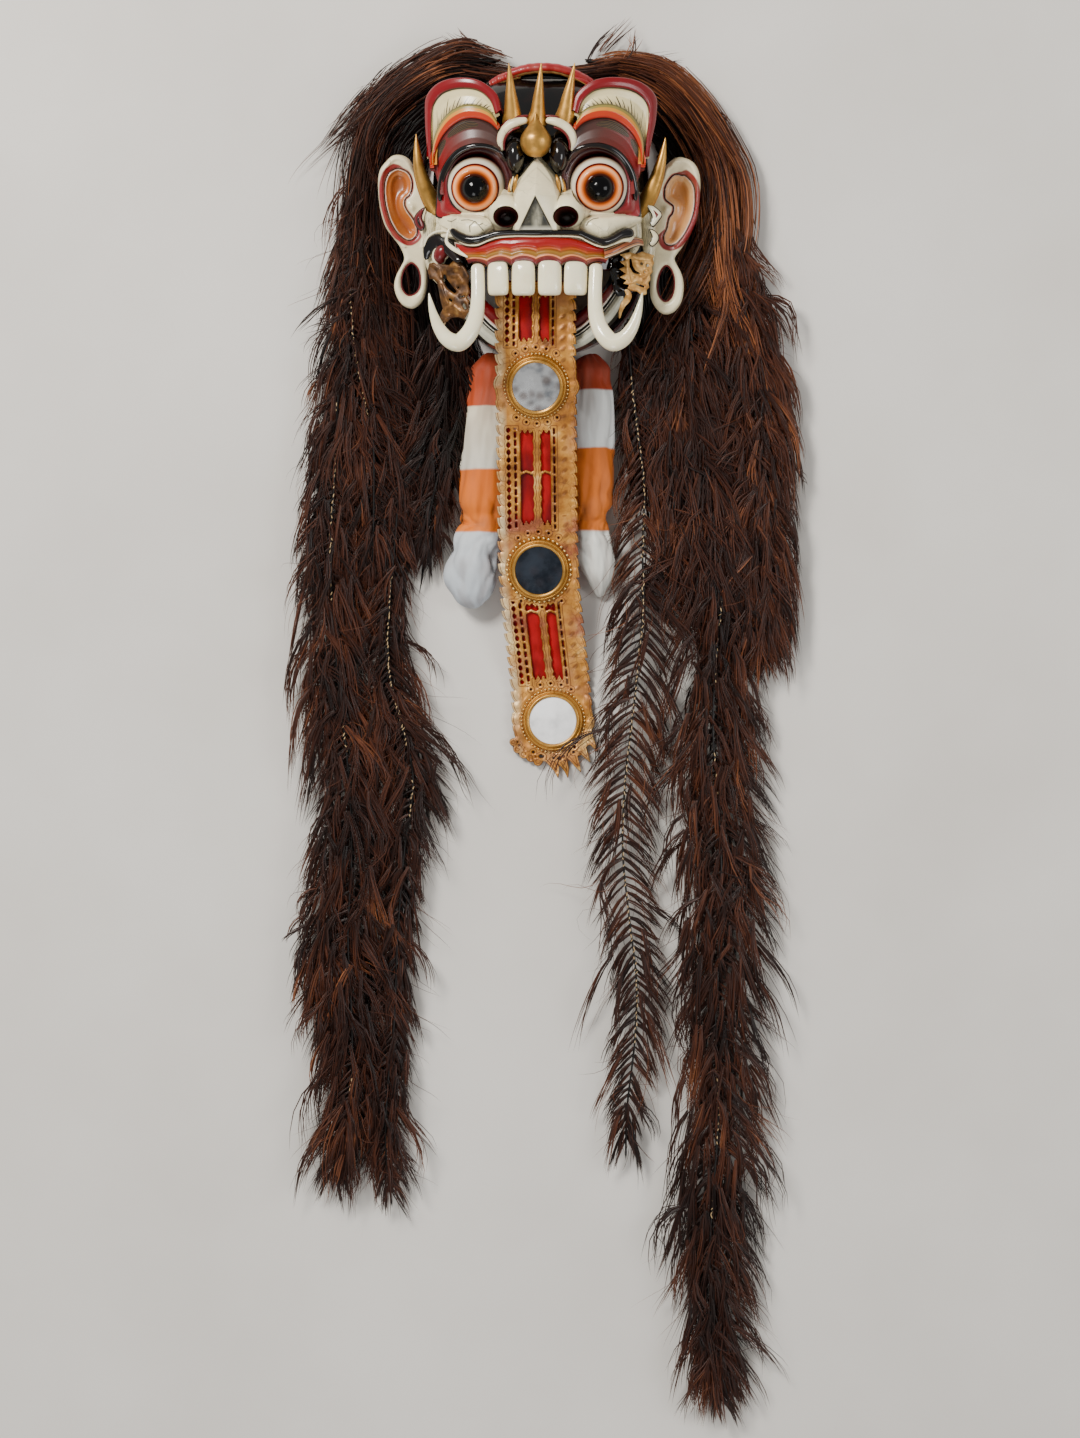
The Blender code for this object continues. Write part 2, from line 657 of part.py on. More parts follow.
def main():
    clear_scene()
    wood = paint("painted_wood", (0.8, 0.78, 0.68), 0.35)
    ivory = paint("ivory_teeth", (0.85, 0.82, 0.7), 0.3)
    gold = paint("gilding", (0.66, 0.42, 0.16), 0.38, 0.85)
    red_leather = paint("red_leather", (0.42, 0.05, 0.04), 0.45)
    cloth = paint("red_cloth", (0.6, 0.02, 0.03), 0.85)
    roll_cloth = paint("roll_cloth", (0.8, 0.45, 0.2), 0.85)
    hair = paint("hair", (0.06, 0.025, 0.015), 0.55)
    glass = paint("mirror_glass", (0.75, 0.77, 0.78), 0.05, 1.0)

    face = carved_face(wood)
    fitted = []
    for name, route in HORNS.items():
        tube(name, route, 7, 8, gold)
        fitted.append(tube(f"{name}_socket", route, 7, 8, grow=GAP))
    forehead_drop("forehead_drop", gold)
    fitted.append(forehead_drop("forehead_drop_socket", grow=GAP))
    for number in range(4):
        x = (number - 1.5) * TOOTH_PITCH
        tooth(f"tooth_{number + 1}", x, ivory)
        fitted.append(tooth(f"tooth_{number + 1}_socket", x, grow=GAP))
    for side in (-1, 1):
        tusk(side_name("tusk", side), side, ivory)
        fitted.append(tusk(side_name("tusk_socket", side), side, grow=GAP))
        ear(side_name("ear", side), side, wood)
        fitted.append(ear(side_name("ear_socket", side), side, grow=GAP))
        cheek_ornament(side_name("cheek_ornament", side), side, gold)
    crown_band("crown_band", red_leather)
    fitted.append(crown_band("crown_band_socket", grow=GAP))
    thin_out(face, 6)
    for socket in fitted:
        combine(face, socket, "DIFFERENCE")

    thin_out(tongue_leather(gold), 1)
    thin_out(tongue_cloth(cloth), 1)
    for label, y in MIRROR_PLACES.items():
        mirror(label, y, glass, gold)
    for name, stations in ROLLS.items():
        lying(name, stations, ROLL_HEIGHT, roll_cloth, 11)
    for name, stations in LOCKS.items():
        length = sum(math.dist(a[:2], b[:2]) for a, b in zip(stations, stations[1:]))
        lying(name, stations, LOCK_HEIGHT, hair, max(7, round(length / 68)), jag=0.09)
    centre_on_floor()


def centre_on_floor():
    """Moves every mesh so that the object's own bottom centre is the origin."""
    pieces = [obj for obj in bpy.data.objects if not obj.hide_render]
    graph = bpy.context.evaluated_depsgraph_get()
    corners = [Vector(corner) for obj in pieces for corner in obj.evaluated_get(graph).bound_box]
    low = Vector([min(c[i] for c in corners) for i in range(3)])
    high = Vector([max(c[i] for c in corners) for i in range(3)])
    shift = Matrix.Translation((-(low.x + high.x) / 2, -(low.y + high.y) / 2, -low.z))
    for obj in bpy.data.objects:
        obj.data.transform(shift)


main()
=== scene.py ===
# A carved and painted dance mask, lying face up with its long hair and mirrored tongue spread on the floor.
import math

import bmesh
import bpy
import numpy as np
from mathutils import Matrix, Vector


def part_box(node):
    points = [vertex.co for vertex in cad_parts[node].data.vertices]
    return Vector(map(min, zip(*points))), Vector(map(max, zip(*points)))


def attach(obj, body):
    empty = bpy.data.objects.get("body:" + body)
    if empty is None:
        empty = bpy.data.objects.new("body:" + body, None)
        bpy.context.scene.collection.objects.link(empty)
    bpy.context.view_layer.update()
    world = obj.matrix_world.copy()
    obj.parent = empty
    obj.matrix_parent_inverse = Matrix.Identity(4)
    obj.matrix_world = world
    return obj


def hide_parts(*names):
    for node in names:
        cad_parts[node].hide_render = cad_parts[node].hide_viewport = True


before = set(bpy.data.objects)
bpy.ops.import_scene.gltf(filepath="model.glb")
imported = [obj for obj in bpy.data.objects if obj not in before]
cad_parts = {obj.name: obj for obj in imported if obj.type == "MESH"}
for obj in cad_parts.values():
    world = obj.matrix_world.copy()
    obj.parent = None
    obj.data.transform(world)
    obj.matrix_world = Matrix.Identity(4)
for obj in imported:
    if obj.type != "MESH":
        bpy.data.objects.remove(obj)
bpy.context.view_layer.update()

mm = 0.001
circle = 2 * math.pi
weld = 0.01 * mm  # points nearer than this are one point
faceX = (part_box("tooth_2")[0].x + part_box("tooth_3")[1].x) / 2  # middle of the face
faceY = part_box("tooth_2")[1].y + 69 * mm  # a little below the pupils, 69 mm above the teeth's roots


def at(x, y, z):
    # a place given in millimetres from the middle of the face and from the floor
    return Vector((faceX + x * mm, faceY + y * mm, z * mm))


def along(points, u):
    # the place at u, from 0 to 1, on a smooth curve through all the points
    points = np.asarray(points, float)
    spans = len(points) - 1
    where = min(max(u, 0), 1) * spans
    k = min(int(where), spans - 1)
    t = where - k
    before = points[k - 1] if k else 2 * points[0] - points[1]
    after = points[k + 2] if k + 2 <= spans else 2 * points[-1] - points[-2]
    here, ahead = points[k], points[k + 1]
    linear = ahead - before
    square = 2 * before - 5 * here + 4 * ahead - after
    cube = 3 * here - before - 3 * ahead + after
    return 0.5 * (2 * here + linear * t + square * t**2 + cube * t**3)


def stopsAt(stops, t, column=1):
    # the value at t between (t, value, ...) stops
    return np.interp(t, [stop[0] for stop in stops], [stop[column] for stop in stops])


def smoothStep(low, high, t):
    t = min(max((t - low) / (high - low), 0), 1)
    return t * t * (3 - 2 * t)


def hill(t, centre, width):
    # 1 at the centre, falling away smoothly on both sides
    return np.exp(-(((t - centre) / width) ** 2))


def held(t):
    return np.clip(t, 0, 1)


def power(t, exponent):
    # a power that keeps the sign
    return math.copysign(abs(t) ** exponent, t)


# how a piece is started and finished

def only(piece):
    bpy.ops.object.select_all(action="DESELECT")
    piece.select_set(True)
    bpy.context.view_layer.objects.active = piece


def editAll(piece, *steps):
    # runs edit mode operators, given as (operator, settings), on the whole piece
    only(piece)
    bpy.ops.object.mode_set(mode="EDIT")
    bpy.ops.mesh.select_all(action="SELECT")
    for operator, settings in steps:
        operator(**settings)
    bpy.ops.object.mode_set(mode="OBJECT")


def applyModifier(piece, kind, **settings):
    modifier = piece.modifiers.new(kind.title(), kind)
    for key, value in settings.items():
        setattr(modifier, key, value)
    only(piece)
    bpy.ops.object.modifier_apply(modifier=modifier.name)


def named(name):
    # the primitive just added, under its own name
    piece = bpy.context.object
    piece.name = piece.data.name = name
    return piece


def flatGrid(name, columns, rows):
    bpy.ops.object.select_all(action="DESELECT")
    bpy.ops.mesh.primitive_grid_add(x_subdivisions=columns, y_subdivisions=rows, size=1)
    return named(name)


def meshPiece(name, points, faces):
    mesh = bpy.data.meshes.new(name)
    mesh.from_pydata(points, [], faces)
    piece = bpy.data.objects.new(name, mesh)
    bpy.context.collection.objects.link(piece)
    return piece


def shapedGrid(name, columns, rows, place):
    # a grid whose points go to place(u, v); u and v stay behind as its UV map
    piece = flatGrid(name, columns, rows)
    for point in piece.data.vertices:
        point.co = place(point.co.x + 0.5, point.co.y + 0.5)
    return piece


def faceUp(piece):
    # an open sheet made to face up, whichever side of the face it is on
    if sum(face.normal.z * face.area for face in piece.data.polygons) < 0:
        editAll(piece, (bpy.ops.mesh.flip_normals, {}))
    return piece


def closeUp(piece):
    # joins the seams and poles of a grid that was bent round on itself
    editAll(
        piece,
        (bpy.ops.mesh.remove_doubles, {"threshold": weld}),
        (bpy.ops.mesh.dissolve_degenerate, {"threshold": 0.001 * mm}),
        (bpy.ops.mesh.normals_make_consistent, {"inside": False}),
    )
    return piece


def capped(piece, *before):
    # a bent grid whose open edge gets a face, after the steps before
    editAll(
        piece,
        (bpy.ops.mesh.select_all, {"action": "DESELECT"}),
        (bpy.ops.mesh.select_non_manifold, {}),
        *before,
        (bpy.ops.mesh.edge_face_add, {}),
    )
    return closeUp(piece)


def lifted(height):
    # an edit step that extrudes what is selected straight up, or down
    return bpy.ops.mesh.extrude_region_move, {"TRANSFORM_OT_translate": {"value": (0, 0, height * mm)}}


def plate(name, columns, rows, place, thickness):
    # an open sheet given its thickness downwards
    piece = faceUp(shapedGrid(name, columns, rows, place))
    applyModifier(piece, "SOLIDIFY", thickness=thickness * mm, offset=-1, use_even_offset=False)
    return piece


def tube(name, route, columns, rows, across=(1, 1), rounding=(1, 1), ripple=None):
    # a closed round body along (x, y, z, radius) points; rounding says how blunt each end is, in radii
    stations = [along(route, i / columns) for i in range(columns + 1)]
    lengths = np.cumsum([0] + [np.linalg.norm(b[:3] - a[:3]) for a, b in zip(stations, stations[1:])])

    def place(u, v):
        i = min(round(u * columns), columns)
        here = stations[i]
        run = stations[min(i + 1, columns)][:3] - stations[max(i - 1, 0)][:3]
        forward = Vector(run).normalized()
        side = forward.cross(Vector((0, 0, 1)))
        side = side.normalized() if side.length > 1e-4 else Vector((1, 0, 0))
        up = side.cross(forward)
        radius = here[3]
        for gone, blunt in ((lengths[i], rounding[0]), (lengths[-1] - lengths[i], rounding[1])):
            if blunt and gone < blunt * here[3]:
                radius *= math.sqrt(max(1 - (1 - gone / (blunt * here[3])) ** 2, 0))
        radius = max(radius, 0.002)
        if ripple:
            radius *= 1 + ripple(u, v)
        angle = circle * v
        out = side * (radius * across[0] * math.cos(angle)) + up * (radius * across[1] * math.sin(angle))
        return at(here[0] + out.x, here[1] + out.y, here[2] + out.z)

    return closeUp(shapedGrid(name, columns, rows, place))


def mirrored(points, side):
    return [(side * x, *rest) for x, *rest in points]


def sideName(base, side):
    return f"{base}{'Left' if side < 0 else 'Right'}"


def nodeName(base, side):
    return f"{base}_{'left' if side < 0 else 'right'}"


def pieceName(node):
    first, *rest = node.split("_")
    return first + "".join(word.title() for word in rest)


def finished(piece, finish, slot="painted_wood", stands="mask", angle=60):
    # smooths, paints and mounts a piece, and hides the solids it stands for
    only(piece)
    bpy.ops.object.shade_smooth_by_angle(angle=math.radians(angle))
    piece.data.materials.clear()
    piece.data.materials.append(finishes[finish].material)
    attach(piece, "root")
    if stands:
        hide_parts(*([stands] if isinstance(stands, str) else stands))
    return piece


def rods(table, side=1, **mount):
    # round pieces from name: (finish, columns, rows, width and height, points); * stands for the side's word
    for name, (finish, columns, rows, across, route) in table.items():
        rod = tube(name.replace("*", sideName("", side)), mirrored(route, side), columns, rows, across)
        finished(rod, finish, **mount)


# finishes

def shade(code):
    # a paint colour written as on a colour card, turned into the linear values that a shader takes
    parts = [int(code[i : i + 2], 16) / 255 for i in (0, 2, 4)]
    return (*[c / 12.92 if c < 0.04045 else ((c + 0.055) / 1.055) ** 2.4 for c in parts], 1)


class Finish:
    # a material and short ways to wire its nodes

    def __init__(self, name, colour, roughness, **sockets):
        self.material = bpy.data.materials.new(name)
        self.material.use_nodes = True
        self.tree = self.material.node_tree
        self.shader = self.tree.nodes["Principled BSDF"]
        self.set("Base Color", shade(colour))
        self.set("Roughness", roughness)
        for key, value in sockets.items():
            self.set(key.replace("_", " "), value)
        self.places = {}

    def feed(self, socket, value):
        # another node's output, or a plain value
        if isinstance(value, bpy.types.NodeSocket):
            self.tree.links.new(value, socket)
        else:
            socket.default_value = value

    def set(self, name, value):
        self.feed(self.shader.inputs[name], value)

    def add(self, kind, settings=None, **inputs):
        node = self.tree.nodes.new(kind)
        for key, value in (settings or {}).items():
            setattr(node, key, value)
        for key, value in inputs.items():
            self.feed(node.inputs[int(key[1:]) if key[0] == "_" else key], value)
        return node.outputs

    def place(self, kind="Object"):
        if kind not in self.places:
            self.places[kind] = self.add("ShaderNodeTexCoord")[kind]
        return self.places[kind]

    def split(self, kind="UV"):
        # x, y and z of a place, or u and v of the UV map
        key = "split" + kind
        if key not in self.places:
            self.places[key] = self.add("ShaderNodeSeparateXYZ", Vector=self.place(kind))
        return self.places[key]

    def fromFace(self, axis):
        # millimetres across (0) or up (1) from the middle of the face
        return self.times(self.minus(self.split("Object")[axis], (faceX, faceY)[axis]), 1 / mm)

    def noise(self, scale, detail=3, where=None, rough=0.55, stretch=None):
        where = where or self.place()
        if stretch:
            where = self.add("ShaderNodeMapping", Vector=where, Scale=stretch)[0]
        return self.add("ShaderNodeTexNoise", Vector=where, Scale=scale, Detail=detail, Roughness=rough)[0]

    def math(self, operation, a, b=0.0, c=0.0, clamp=False):
        return self.add("ShaderNodeMath", {"operation": operation, "use_clamp": clamp}, _0=a, _1=b, _2=c)[0]

    def times(self, a, b):
        return self.math("MULTIPLY", a, b)

    def plus(self, a, b):
        return self.math("ADD", a, b)

    def minus(self, a, b):
        return self.math("SUBTRACT", a, b)

    def kept(self, name):
        return self.add("ShaderNodeAttribute", {"attribute_name": name})[2]

    def between(self, value, low, high, start=0.0, end=1.0):
        # value mapped from low..high to start..end and held there
        return self.add("ShaderNodeMapRange", {"clamp": True}, _0=value, _1=low, _2=high, _3=start, _4=end)[0]

    def band(self, value, centre, half, soft):
        # 1 within half of centre, falling to 0 over soft
        away = self.math("ABSOLUTE", self.minus(value, centre))
        return self.between(away, half, half + soft, 1, 0)

    def wobbled(self, value, size, scale, detail=2):
        # value moved about by up to half of size, so that painted edges waver
        return self.math("MULTIPLY_ADD", self.noise(scale, detail), size, self.minus(value, size / 2))

    def ramp(self, value, stops):
        outputs = self.add("ShaderNodeValToRGB", Fac=value)
        ramp = outputs[0].node.color_ramp
        while len(ramp.elements) < len(stops):
            ramp.elements.new(0.5)
        for element, (position, _) in zip(ramp.elements, stops):
            element.position = position
        for element, (_, colour) in zip(ramp.elements, stops):
            element.color = shade(colour)
        return outputs[0]

    def mix(self, factor, a, b, mode="MIX"):
        a, b = (shade(c) if isinstance(c, str) else c for c in (a, b))
        return self.add("ShaderNodeMix", {"data_type": "RGBA", "blend_type": mode}, _0=factor, _6=a, _7=b)[2]

    def over(self, under, tint, value, low, high, start=0.0, end=1.0):
        # a tint laid over a colour as value goes from low to high
        return self.mix(self.between(value, low, high, start, end), under, tint)

    def roughen(self, scale, low, high, soft=0.3):
        # gloss that varies in patches
        self.set("Roughness", self.between(self.noise(scale, 4), soft, 1 - soft, low, high))

    def bump(self, height, strength, distance):
        # laid over the bumps before it; distance is in millimetres
        last = self.shader.inputs["Normal"]
        before = {"Normal": last.links[0].from_socket} if last.is_linked else {}
        bumped = self.add("ShaderNodeBump", Height=height, Strength=strength, Distance=distance * mm, **before)
        self.set("Normal", bumped[0])


def stripes(*bands):
    # ramp stops for painted bands given as (where it ends, colour), each with a thin clean edge
    edge = 0.006
    stops, start = [], 0.0
    for end, colour in bands:
        stops += [(max(start, 0), colour), (max(end - edge, start), colour)]
        start = end
    return stops


def lacquer(name, colour, dirt, wear=0.35):
    # hand-brushed gloss paint over carved wood, a little yellowed and grimy in patches
    finish = Finish(name, colour, 0.3, Coat_Weight=0.35, Coat_Roughness=0.18, Specular_IOR_Level=0.45)
    agePaint(finish, shade(colour), dirt, wear)
    return finish


def agePaint(finish, colour, dirt, wear):
    grime = finish.between(finish.noise(38, 6, rough=0.65), 0.45, 0.78, 0, wear)
    specks = finish.between(finish.noise(420, 3), 0.66, 0.74, 0, wear * 0.8)
    aged = finish.mix(grime, colour, dirt)
    finish.set("Base Color", finish.mix(specks, aged, dirt))
    finish.roughen(70, 0.24, 0.42)
    finish.bump(finish.noise(46, 3), 0.35, 0.9)
    finish.bump(finish.noise(600, 2, stretch=(1, 0.25, 1)), 0.12, 0.12)


def crackle(finish, colour, scale, width, amount):
    # fine dark cracks in patches
    cloud = finish.add("ShaderNodeTexNoise", Vector=finish.place(), Scale=90.0)[1]
    bend = {"_0": cloud, "_1": (0.006, 0.006, 0.006), "_2": finish.place()}
    bent = finish.add("ShaderNodeVectorMath", {"operation": "MULTIPLY_ADD"}, **bend)[0]
    cells = finish.add("ShaderNodeTexVoronoi", {"feature": "DISTANCE_TO_EDGE"}, Vector=bent, Scale=scale)[0]
    lines = finish.between(cells, 0, width, 1, 0)
    patches = finish.between(finish.noise(24, 2), 0.5, 0.56, 0, 1)
    return finish.mix(finish.times(finish.times(lines, patches), amount), colour, "1d1712")


paints = {
    "white": "efe3bc",
    "cream": "e9d9a4",
    "black": "060505",
    "red": "78010d",
    "maroon": "30050a",
    "orange": "b93208",
    "olive": "5d5832",
    "deepRed": "66060b",
}


def whitePaint():
    finish = Finish("whitePaint", paints["white"], 0.3, Coat_Weight=0.3, Coat_Roughness=0.2)
    agePaint(finish, crackle(finish, shade(paints["white"]), scale=46, width=0.014, amount=0.8), "8f8564", 0.4)
    return finish


def blackLacquer():
    finish = Finish("blackLacquer", paints["black"], 0.14, Coat_Weight=0.3, Coat_Roughness=0.06, Specular_IOR_Level=0.4)
    finish.set("Base Color", finish.over(paints["black"], "1c0d0a", finish.noise(30, 4), 0.5, 0.8))
    finish.bump(finish.noise(50, 2), 0.2, 0.6)
    return finish


def browPaint():
    # across the hood: eye socket field, orange and gold roll, cream with drawn lashes, red rim, red outer wall
    finish = Finish("browPaint", paints["red"], 0.34, Coat_Weight=0.2, Coat_Roughness=0.2)
    u, v = finish.split()[:2]
    wobble = finish.wobbled(v, 0.012, 60)
    field = finish.ramp(u, [(0.0, "3c2018"), (0.3, "4a241c"), (0.55, "6c1f18"), (0.78, "8a1614"), (1.0, "74100c")])
    streaks = finish.between(finish.noise(16, 5, finish.place("UV"), stretch=(26, 3, 1)), 0.42, 0.7, 0, 0.65)
    field = finish.mix(streaks, field, "1c0d0b")
    for centre, reach, turn in ((0.43, 0.17, 1), (0.72, 0.1, -1)):
        # dark almond under the roll, hatched with fine gold
        across = finish.times(finish.minus(u, centre), 1 / reach)
        lift = finish.times(finish.minus(v, 0.27), 1 / 0.06)
        ring = finish.plus(finish.times(across, across), finish.times(lift, lift))
        almond = finish.between(ring, 0.9, 1.0, 1, 0)
        moved = {"Location": (-2.6 * centre, 0.12 - 0.3 * turn, 0), "Scale": (2.6, 1.4, 1)}
        where = finish.add("ShaderNodeMapping", Vector=finish.place("UV"), **moved)[0]
        hatch = finish.add("ShaderNodeTexWave", {"wave_type": "RINGS"}, Vector=where, Scale=11.0, Distortion=1.6)[1]
        inside = finish.over("120907", "8f6c3a", hatch, 0.8, 0.96, 0, 0.6)
        field = finish.mix(almond, field, inside)
    bands = finish.ramp(
        wobble,
        stripes(
            (0.335, "4a1f18"), (0.352, "2a0c0a"), (0.372, "b02c14"), (0.435, paints["orange"]), (0.475, "d08a30"),
            (0.505, "8c7c3c"), (0.525, paints["olive"]), (0.745, paints["cream"]), (0.762, "120c0a"),
            (1.0, paints["red"]),
        ),
    )
    colour = finish.over(field, bands, v, 0.333, 0.337)
    # lashes: leaning black hairs that grow from the olive line into the cream
    lean = finish.math("MULTIPLY_ADD", finish.minus(v, 0.52), 0.4, u)
    lash = finish.add("ShaderNodeTexNoise", {"noise_dimensions": "1D"}, W=finish.times(lean, 16), Detail=1.0)[0]
    tall = finish.between(lash, 0.4, 0.68, 0.0, 0.16)
    comb = finish.math("PINGPONG", finish.times(lean, 30), 0.5)
    rise = finish.minus(v, 0.515)
    point = finish.times(finish.minus(tall, rise), 3.4)
    drawn = finish.times(finish.math("LESS_THAN", comb, point), finish.math("GREATER_THAN", rise, 0))
    shadow = finish.between(v, 0.525, 0.6, 0.5, 0)
    colour = finish.mix(finish.times(shadow, finish.math("GREATER_THAN", v, 0.525)), colour, "8c7440")
    colour = finish.mix(finish.times(drawn, finish.math("LESS_THAN", v, 0.74)), colour, "17130f")
    agePaint(finish, colour, "2a1a12", 0.18)
    finish.set("Roughness", finish.between(v, 0.32, 0.36, 0.46, 0.3))
    return finish


def eyePaint():
    # rings out from the pupil; past the iris the white darkens through grey-brown towards the rim as painted shade,
    # ending in a dark outline
    finish = Finish("eyePaint", "ffffff", 0.12, Coat_Weight=0.1, Coat_Roughness=0.03, Specular_IOR_Level=0.16)
    v = finish.split()[1]
    rings = [
        (0.0, "020203"), (0.36, "020203"), (0.385, "0c0402"), (0.45, "3c1206"), (0.52, "93400f"), (0.58, "d9742e"),
        (0.63, "f2a068"), (0.67, "f7b488"), (0.7, "ee9258"), (0.72, "c2501e"), (0.735, "5c1208"), (0.765, "3a0707"),
        (0.775, "3a0707"), (0.785, "c9a093"), (0.8, "d9d0b8"), (0.87, "e0d8c2"), (0.93, "a89880"), (0.97, "54201c"),
        (1.0, "2a0a0a"),
    ]
    finish.set("Base Color", finish.ramp(v, rings))
    return finish


def socketPaint():
    # lid and corner of the eye: dark at the eyeball and the nose, crimson towards the temple
    finish = Finish("socketPaint", paints["maroon"], 0.25, Coat_Weight=0.5, Coat_Roughness=0.1)
    u, v = finish.split()[:2]
    crimson = finish.ramp(u, [
        (0.0, "3a090d"), (0.16, "6a1018"), (0.3, "84060f"), (0.42, "8a0610"), (0.5, "68060e"), (0.6, "4a0c12"),
        (0.8, "3a090d"), (1, "3a090d"),
    ])
    lines = finish.ramp(v, stripes((0.1, "1a0507"), (0.17, "d8b8a8"), (0.93, "ffffff"), (1.0, "1a0507")))
    agePaint(finish, finish.mix(1.0, crimson, lines, "MULTIPLY"), "1a0507", 0.3)
    return finish


def facePaint():
    # white over nose and cheeks, smoky under the nose, dark red in the nostrils that goes black deep inside as painted
    # shade, and creases darkened by grime and painted shade
    finish = Finish("facePaint", paints["white"], 0.3, Coat_Weight=0.3, Coat_Roughness=0.2)
    hole, septum, crack, cavity = (finish.kept(name) for name in ("hole", "septum", "crack", "cavity"))
    x, y = finish.fromFace(0), finish.fromFace(1)
    white = crackle(finish, shade(paints["white"]), scale=40, width=0.012, amount=0.5)
    smoke = finish.noise(60, 5, stretch=(3, 1, 1))
    middle = finish.band(finish.plus(x, 1), 2.5, 1.5, 6)
    low = finish.band(y, -23, 8, 10)
    glow = finish.times(finish.times(middle, low), finish.between(smoke, 0.3, 0.6))
    under = finish.mix(glow, "14160f", "9c9884")
    under = finish.over(under, "c9c4b0", y, -30, -35)
    colour = finish.over(white, under, septum, -0.2, 0.6)
    # creases darkened where the carving sinks below its surroundings: grime and painted shade
    colour = finish.over(colour, "57503c", cavity, 0.35, 2.4, 0, 0.75)
    colour = finish.over(colour, "15120e", crack, 0.3, 0.8, 0.92, 0)
    # nostrils: dark red paint that goes black deep inside as painted shade, with a dark line at the rim
    inside = finish.over("120204", "6e0c1a", hole, 0.55, 0.95)
    inside = finish.over(inside, "1c0c0a", hole, 0.93, 0.97)
    colour = finish.over(colour, inside, hole, 1.0, 1.05, 1, 0)
    agePaint(finish, colour, "8f8564", 0.3)
    return finish


def lipPaint():
    # from the nose downwards: white edge, red, gilded roll, pale line, dark red gum
    finish = Finish("lipPaint", "d41414", 0.26, Coat_Weight=0.25, Coat_Roughness=0.12)
    wobble = finish.wobbled(finish.split()[1], 0.02, 40)
    bands = finish.ramp(wobble, [
        (0.0, "e0c4b4"), (0.035, "e0c4b4"), (0.05, "6c0406"), (0.12, "900404"), (0.3, "9c0503"), (0.4, "aa2406"),
        (0.47, "cc5c14"), (0.52, "7a4616"), (0.6, "986c20"), (0.7, "8a5c18"), (0.73, "ec9c6c"), (0.77, "e88850"),
        (0.79, "86080a"), (0.9, "70060a"), (0.97, "2c0406"), (1.0, "180304"),
    ])
    streaks = finish.between(finish.noise(10, 4, finish.place("UV"), stretch=(5, 40, 1)), 0.45, 0.7, 0, 0.35)
    agePaint(finish, finish.mix(streaks, bands, "5a0a0c"), "2a0a0a", 0.12)
    return finish


def jawPaint():
    # lower lip from the mouth outwards: red gum, white, black, white line, grey-white roll
    finish = Finish("jawPaint", paints["white"], 0.25, Coat_Weight=0.4, Coat_Roughness=0.15)
    v = finish.split()[1]
    bands = finish.ramp(
        v,
        stripes(
            (0.1, "9c1a18"), (0.17, "e6c2b4"), (0.22, "e4dccb"), (0.33, "0c0b0b"), (0.37, "e8e4d4"), (0.44, "1a1917"),
            (0.47, "d8d5c2"), (0.9, "c4c3ae"), (1.0, "2a2822"),
        ),
    )
    agePaint(finish, bands, "4a4436", 0.4)
    return finish


def templePaint():
    # white with fine grey hairs drawn along it
    finish = Finish("templePaint", paints["white"], 0.35, Coat_Weight=0.2)
    lines = finish.noise(5, 3, finish.place("UV"), stretch=(2, 34, 1))
    hairs = finish.between(lines, 0.52, 0.58, 0, 0.85)
    agePaint(finish, finish.mix(hairs, paints["white"], "3a382f"), "8f8564", 0.4)
    return finish


def cornerPaint():
    # the turned-out corner of the mouth: copper with a pale edge
    finish = Finish("cornerPaint", "a86438", 0.35, Coat_Weight=0.3)
    bands = finish.ramp(
        finish.split()[1],
        stripes(
            (0.1, "120806"), (0.2, "d8a070"), (0.3, "2a100a"), (0.62, "9c5028"), (0.7, "34140c"), (0.84, "c48450"),
            (0.92, "e4ccaa"), (1.0, "1c0c08"),
        ),
    )
    agePaint(finish, bands, "3a1c10", 0.4)
    return finish


def ivoryLacquer():
    finish = Finish("ivoryLacquer", "f8eecc", 0.18, Coat_Weight=0.5, Coat_Roughness=0.08, Subsurface_Weight=0.05)
    stain = finish.between(finish.noise(30, 4), 0.45, 0.8, 0, 0.4)
    finish.set("Base Color", finish.mix(stain, "f8eecc", "d0c08c"))
    finish.bump(finish.noise(60, 2), 0.15, 0.5)
    finish.bump(finish.noise(200, 2, stretch=(1, 0.12, 1)), 0.1, 0.15)
    return finish


def antiqueGold(name="antiqueGold", colour="c29248", dark="5c3a18", roughness=0.36):
    finish = Finish(name, colour, roughness, Metallic=0.85)
    rubbed = finish.between(finish.noise(46, 6, rough=0.7), 0.48, 0.75, 0, 0.55)
    finish.set("Base Color", finish.mix(rubbed, colour, dark))
    finish.roughen(120, roughness - 0.06, roughness + 0.14)
    finish.bump(finish.noise(60, 3), 0.25, 0.5)
    finish.bump(finish.noise(900, 2), 0.1, 0.1)
    return finish


def bareWood():
    # unpainted back with gouge marks
    finish = Finish("bareWood", "b08a5c", 0.7)
    grain = finish.noise(9, 5, stretch=(9, 1, 9), rough=0.7)
    finish.set("Base Color", finish.ramp(grain, [(0.3, "8a6236"), (0.5, "b08a5c"), (0.7, "c9a878")]))
    gouges = finish.add("ShaderNodeTexVoronoi", {"feature": "SMOOTH_F1"}, Vector=finish.place(), Scale=75.0)[0]
    finish.bump(gouges, 0.6, 1.6)
    return finish


finishes = {
    "white": whitePaint(),
    "black": blackLacquer(),
    "brow": browPaint(),
    "eye": eyePaint(),
    "socket": socketPaint(),
    "face": facePaint(),
    "lip": lipPaint(),
    "jaw": jawPaint(),
    "temple": templePaint(),
    "corner": cornerPaint(),
    "ivory": ivoryLacquer(),
    "gold": antiqueGold(),
    "wood": bareWood(),
    "red": lacquer("redPaint", paints["red"], dirt="3a0508"),
    "deepRed": lacquer("deepRedPaint", paints["deepRed"], dirt="1a0204", wear=0.5),
    "edge": lacquer("edgePaint", "54131a", dirt="140406", wear=0.7),
}
print("finishes made")

# the carved face

